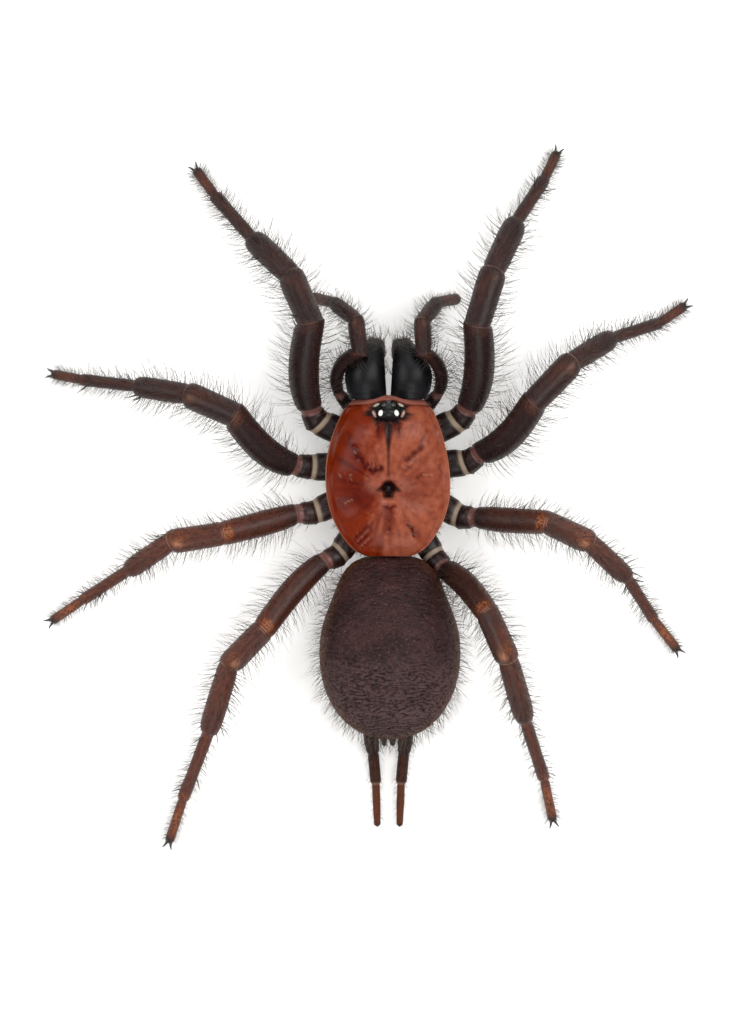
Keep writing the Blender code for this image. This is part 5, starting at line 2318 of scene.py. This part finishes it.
@dataclass(frozen=True)
class Pair:
    """What both legs of a pair share: the joints' sizes, the hip's place, the colour and the hair."""

    lengths: tuple
    half_widths: tuple
    bow: float
    hip: float
    warmth: float
    patches: float
    hairiness: float


# The pairs, counted from the front
PAIRS = {
    1: Pair(
        lengths=(3.85, 1.2, 7.5, 4.3, 4.6, 4.7, 2.65),
        half_widths=(1.05, 0.92, 1.15, 1.03, 0.93, 0.5, 0.37),
        bow=0.5,
        hip=2.55,
        warmth=0.08,
        patches=0.1,
        hairiness=1.05,
    ),
    2: Pair(
        lengths=(3.65, 1.25, 7.0, 4.2, 4.3, 4.7, 2.6),
        half_widths=(1.05, 0.9, 1.1, 1.0, 0.82, 0.46, 0.36),
        bow=0.55,
        hip=0.75,
        warmth=0.16,
        patches=0.25,
        hairiness=1.0,
    ),
    3: Pair(
        lengths=(3.65, 1.3, 6.4, 4.0, 4.2, 4.6, 3.1),
        half_widths=(1.0, 0.87, 0.95, 0.92, 0.76, 0.44, 0.35),
        bow=0.05,
        hip=-1.15,
        warmth=0.52,
        patches=0.9,
        hairiness=0.78,
    ),
    4: Pair(
        lengths=(3.6, 1.15, 7.5, 4.1, 5.5, 5.8, 3.6),
        half_widths=(0.95, 0.85, 0.95, 0.93, 0.83, 0.47, 0.35),
        bow=-0.3,
        hip=-2.95,
        warmth=0.42,
        patches=0.8,
        hairiness=0.85,
    ),
}

# The pose: heading of each joint, and height of its far end
HEADINGS = {
    (Side.LEFT, 1): (65, 23, 0, 23, 46, 41, 36),
    (Side.RIGHT, 1): (63, 35, 6, 17, 25, 33, 26),
    (Side.LEFT, 2): (90, 82, 50, 66, 81, 83, 79),
    (Side.RIGHT, 2): (84, 53, 46, 44, 59, 72, 56),
    (Side.LEFT, 3): (115, 93, 105, 99, 124, 123, 124),
    (Side.RIGHT, 3): (121, 90, 94, 115, 133, 147, 142),
    (Side.LEFT, 4): (143, 113, 138, 136, 163, 159, 162),
    (Side.RIGHT, 4): (149, 139, 136, 156, 164, 162, 168),
}
HEIGHTS = {
    (Side.LEFT, 1): (2.6, 3.2, 7.0, 5.1, 2.9, 1.15, 0.24),
    (Side.RIGHT, 1): (2.6, 3.2, 7.2, 6.3, 4.1, 1.6, 0.24),
    (Side.LEFT, 2): (2.6, 3.2, 7.0, 5.3, 3.6, 1.5, 0.24),
    (Side.RIGHT, 2): (2.6, 3.2, 7.3, 6.4, 3.9, 1.2, 0.24),
    (Side.LEFT, 3): (2.6, 3.0, 5.6, 5.0, 3.3, 1.3, 0.24),
    (Side.RIGHT, 3): (2.6, 3.3, 6.9, 5.2, 3.6, 1.1, 0.24),
    (Side.LEFT, 4): (2.6, 3.1, 6.0, 4.3, 3.0, 1.2, 0.24),
    (Side.RIGHT, 4): (2.6, 3.2, 9.1, 7.7, 4.9, 1.65, 0.24),
}


@dataclass
class LegMaker:
    """Builds the eight legs in the pose of the photograph."""

    hip_height: float = 2.35
    # How deep a coxa starts inside the body's core
    sink: float = 0.7
    # Rings for each millimetre of a joint, and the fewest in one
    density: int = 9
    fewest: int = 14
    core: Underside = field(default_factory=Underside)

    def hip(self, side: Side, place: float) -> tuple[np.ndarray, np.ndarray]:
        """Where a coxa leaves the body's core.

        Args:
            side: Side of the body.
            place: Place along the body.

        Returns:
            The point and the core's outward direction there.
        """
        core = self.core
        share = abs(place) / core.half_length
        x = core.half_width * (1 - share**core.roundness) ** (1 / core.roundness)
        power = core.roundness - 1
        across = side.value * (x / core.half_width) ** power / core.half_width
        wall = unit(np.array((across, math.copysign(share**power, place) / core.half_length, 0.0)))
        return np.array((side.value * x, place, self.hip_height)) + wall * 0.3, wall

    def points(self, side: Side, pair: int) -> tuple[list[np.ndarray], np.ndarray]:
        """The ends of a leg's joints.

        Args:
            side: Side of the body.
            pair: Which pair, counted from the front.

        Returns:
            Eight points from hip to tip, and the core's outward direction at the hip.
        """
        root, wall = self.hip(side, PAIRS[pair].hip)
        ends = [root]
        for joint in zip(PAIRS[pair].lengths, HEADINGS[side, pair], HEIGHTS[side, pair]):
            ends.append(next_point(ends[-1], side, *joint))
        return ends, wall

    def build(
        self, side: Side, pair: int, shell: bpy.types.Material
    ) -> tuple[Limb, list[np.ndarray]]:
        """Make one leg's skin.

        Args:
            side: Side of the body.
            pair: Which pair.
            shell: The cuticle's material.

        Returns:
            The limb and the ends of its joints.
        """
        ends, wall = self.points(side, pair)
        legs, node = PAIRS[pair], f"leg_{side.word}_{pair}"
        parts = ("coxa", "femur", "patella", "tibia", "foot")
        limb = Limb(
            f"{node}_skin",
            side,
            tuple(f"{node}_{part}" for part in parts),
            # The hind legs are a little warmer on the left side than on the right
            warmth=legs.warmth - 0.1 * side.value * (pair > 2),
            patches=legs.patches,
            hairiness=legs.hairiness,
        )
        planes = [wall, *(meeting_plane(*ends[i : i + 3]) for i in range(len(ends) - 2)), None]
        for kind in JointKind:
            i = kind.value
            start, end = ends[i], ends[i + 1]
            if kind is JointKind.COXA:
                start = start - unit(end - start) * self.sink
            count = max(self.fewest, int(self.density * np.linalg.norm(end - start)))
            centres = Limb.line(start, end, count)
            if kind is JointKind.FEMUR:
                share = Limb.spaced(np.linspace(0, 1, count))[:, None]
                turn = math.radians(HEADINGS[side, pair][i] + 90)
                aside = np.array((side.value * math.sin(turn), math.cos(turn), 0.0))
                centres = centres + aside * legs.bow * np.sin(math.pi * share**0.8)
            tallness = {JointKind.COXA: 0.9, JointKind.TROCHANTER: 1.0}.get(kind, 1.06)
            limb.add(kind, centres, legs.half_widths[i], tallness, planes[i], planes[i + 1])
        limb.dress(shell)
        return limb, ends


@dataclass
class Claws:
    """The pair of hooked claws on a leg's tip."""

    length: float = 0.85
    radius: float = 0.19
    spread: float = 2.0
    hook: float = 40.0
    apart: float = 0.15

    def build(
        self, name: str, ankle: np.ndarray, tip: np.ndarray, horn: bpy.types.Material
    ) -> None:
        """Make both claws as one piece.

        Args:
            name: Name of the piece.
            ankle: Near end of the tarsus.
            tip: Its far end.
            horn: The claws' material.
        """
        along = unit(tip - ankle)
        across = unit(np.cross(along, UP))
        heading = math.atan2(along[0], along[1])
        t = np.linspace(0, 1, 22)
        rise = np.radians(38 - 95 * t)
        size = self.radius * (1 - t) ** 0.75 + 0.008
        bodies = []
        for side in Side:
            turns = heading + side.value * np.radians(self.spread + self.hook * t)
            root = tip - along * 0.2 + UP * 0.12 + across * side.value * self.apart
            flat = np.cos(rise)
            ways = np.stack((np.sin(turns) * flat, np.cos(turns) * flat, np.sin(rise)), axis=1)
            steps = np.cumsum(ways[:-1] * self.length / (len(t) - 1), axis=0)
            centres = root + np.concatenate((np.zeros((1, 3)), steps))
            centres[:, 2] = np.maximum(centres[:, 2], CLAW_CLEARANCE)
            bodies.append(MeshMaker.wrap(Skin.around(centres, size * 0.7, size, 14)))
        MeshMaker.place(name, MeshMaker.joined(name, bodies), horn, "fang_and_claw")


@dataclass
class PalpMaker:
    """Builds the two palps beside the jaws."""

    root: tuple = (0.95, 3.75, 2.1)
    coxa: tuple = (2.9, 50, 2.3)
    trochanter: tuple = (1.1, 38, 2.75)
    # The femur's length, first heading and last heading
    femurs: tuple = ((Side.LEFT, (5.1, 12, -68)), (Side.RIGHT, (4.85, 17, -58)))
    steps: int = 5
    knee_height: float = 6.05
    # Patella, tibia and tarsus: length, heading and height of the far end
    outer: tuple = (
        (Side.LEFT, ((2.6, 7, 5.3), (3.0, 52, 3.2), (2.85, 76, 0.9))),
        (Side.RIGHT, ((2.5, -3, 5.3), (2.8, 38, 3.2), (2.8, 79, 0.9))),
    )
    # Each joint's half width, its height as a share of that, and its number of rings
    sizes: tuple = (
        (JointKind.COXA, 0.6, 1.2, 20),
        (JointKind.TROCHANTER, 0.5, 1.06, 10),
        (JointKind.FEMUR, 0.4968, 1.06, 40),
        (JointKind.PATELLA, 0.64, 1.06, 20),
        (JointKind.TIBIA, 0.57, 1.06, 20),
        (JointKind.TARSUS, 0.42, 1.06, 26),
    )

    def build(self, side: Side, shell: bpy.types.Material) -> Limb:
        """Make one palp's skin.

        Args:
            side: Side of the body.
            shell: The cuticle's material.

        Returns:
            The limb.
        """
        root = np.array((side.value * self.root[0], *self.root[1:]))
        coxa_end = next_point(root, side, *self.coxa)
        hip = next_point(coxa_end, side, *self.trochanter)
        curve = [hip]
        length, first, last = dict(self.femurs)[side]
        for i in range(self.steps):
            heading = first + (last - first) * i / (self.steps - 1)
            height = hip[2] + (self.knee_height - hip[2]) * (i + 1) / self.steps
            curve.append(next_point(curve[-1], side, length / self.steps, heading, height))
        ends = [root, coxa_end, hip, curve[-1]]
        for joint in dict(self.outer)[side]:
            ends.append(next_point(ends[-1], side, *joint))
        name = f"palp_{side.word}"
        nodes = tuple(f"{name}_{part}" for part in ("coxa", "femur", "patella", "tip"))
        limb = Limb(
            f"{name}_skin", side, nodes, warmth=0.14, patches=0.2, hairiness=0.85, facets=36
        )
        planes = (
            np.array((0.0, 1.0, 0.0)),
            meeting_plane(*ends[:3]),
            meeting_plane(coxa_end, hip, curve[1]),
            meeting_plane(curve[-2], *ends[3:5]),
            meeting_plane(*ends[3:6]),
            meeting_plane(*ends[4:7]),
            None,
        )
        keys = tuple((float(i), *point) for i, point in enumerate(curve))
        for i, (kind, half_width, tallness, count) in enumerate(self.sizes):
            if kind is JointKind.FEMUR:
                centres = smooth(keys, Limb.spaced(np.linspace(0, 1, count)) * self.steps)
            else:
                centres = Limb.line(ends[i], ends[i + 1], count)
            limb.add(kind, centres, half_width, tallness, planes[i], planes[i + 1])
        limb.dress(shell)
        return limb


# Studio


@dataclass
class Studio:
    """A matt white floor, soft light from all round, and the camera straight above."""

    # Middle of the picture, and how much its long side spans at the height of the legs
    view_centre: tuple = (-1.7055, -2.653)
    view_height: float = 77.6
    legs_height: float = 3.0
    distance: float = 1200.0
    sensor: float = 36.0
    room_light: float = 0.55
    floor_half_size: float = 0.6

    def build(self) -> None:
        """Make floor, lights and camera, and show colours as they are."""
        bpy.context.scene.view_settings.view_transform = "Standard"
        self.floor()
        self.lights()
        self.camera()

    def floor(self) -> None:
        """Lay the floor."""
        body = bmesh.new()
        bmesh.ops.create_grid(body, x_segments=2, y_segments=2, size=self.floor_half_size)
        mesh = bpy.data.meshes.new("studio_floor")
        body.to_mesh(mesh)
        body.free()
        mesh.materials.append(StudioFloor("matt_white_card", roughness=0.9).material())
        floor = bpy.data.objects.new("studio_floor", mesh)
        bpy.context.scene.collection.objects.link(floor)

    def lights(self) -> None:
        """Hang the large soft boxes well to the sides and a weak one above, and light the room."""
        world = bpy.data.worlds.new("white_room")
        bpy.context.scene.world = world
        world.use_nodes = True
        white, strength = world.node_tree.nodes["Background"].inputs[:2]
        white.default_value = (1.0, 1.0, 1.0, 1.0)
        strength.default_value = self.room_light
        # Place in metres, width in metres and watts
        boxes = (
            ("soft_box_right", (0.4, 0.13, 0.42), 0.36, 1.4),
            ("soft_box_left", (-0.42, 0.06, 0.4), 0.36, 1.1),
            ("soft_box_rear", (0.02, -0.44, 0.4), 0.36, 1.0),
            ("soft_box_front", (-0.02, 0.46, 0.38), 0.36, 0.65),
            ("soft_box_above", (0.17, 0.01, 0.52), 0.22, 0.45),
        )
        for name, place, size, power in boxes:
            light = bpy.data.lights.new(name, "AREA")
            light.size = size
            light.energy = power
            lamp = bpy.data.objects.new(name, light)
            lamp.location = place
            lamp.rotation_euler = (-Vector(place)).to_track_quat("-Z", "Y").to_euler()
            bpy.context.scene.collection.objects.link(lamp)

    def camera(self) -> None:
        """Set the camera straight above, with a long lens."""
        camera = bpy.data.cameras.new("camera")
        camera.sensor_width = self.sensor
        camera.lens = self.sensor * (self.distance - self.legs_height) / self.view_height
        camera.clip_start, camera.clip_end = 0.01, 10.0
        holder = bpy.data.objects.new("camera", camera)
        holder.location = (np.array((*self.view_centre, self.distance)) + SHIFT) * MM
        bpy.context.scene.collection.objects.link(holder)
        bpy.context.scene.camera = holder


def main() -> None:
    """Build the spider, then the studio round it."""
    logging.basicConfig(level=logging.INFO, format="%(message)s")
    dice = np.random.default_rng(20)
    seta = Seta("dark_bristle_cuticle", roughness=0.38).material()
    brown = Seta(
        "silvery_brown_down", roughness=0.45, dark="#1d120f", light="#5f4535"
    ).material()
    shield = Carapace()
    shield.build(dice, seta)
    EyeTubercle(shield).build()
    Jaws().build(dice, seta)
    Abdomen().build(dice, seta, brown)
    Spinnerets().build(dice, seta)
    Underside().build(dice, seta)
    black = LegShell("black_brown_leg_cuticle", roughness=0.42, gloss=0.22).material()
    red = LegShell(
        "red_brown_leg_cuticle",
        roughness=0.42,
        gloss=0.28,
        dark="#200e0b",
        warm="#642d19",
        mottle="#a2582b",
        streak="#5a382c",
    ).material()
    horn = BlackShell(
        "black_horn_of_claws", roughness=0.2, coat=0.4, dark="#0a0707", pale="#22120c"
    ).material()
    legs = LegMaker()
    for side in Side:
        for pair in PAIRS:
            limb, ends = legs.build(side, pair, red if pair > 2 else black)
            limb.furred(dice, seta)
            Claws().build(f"claws_{side.word}_{pair}", ends[6], ends[7], horn)
        PalpMaker().build(side, black).furred(dice, seta, 0.75)
    Studio().build()


if __name__ == "__main__":
    main()
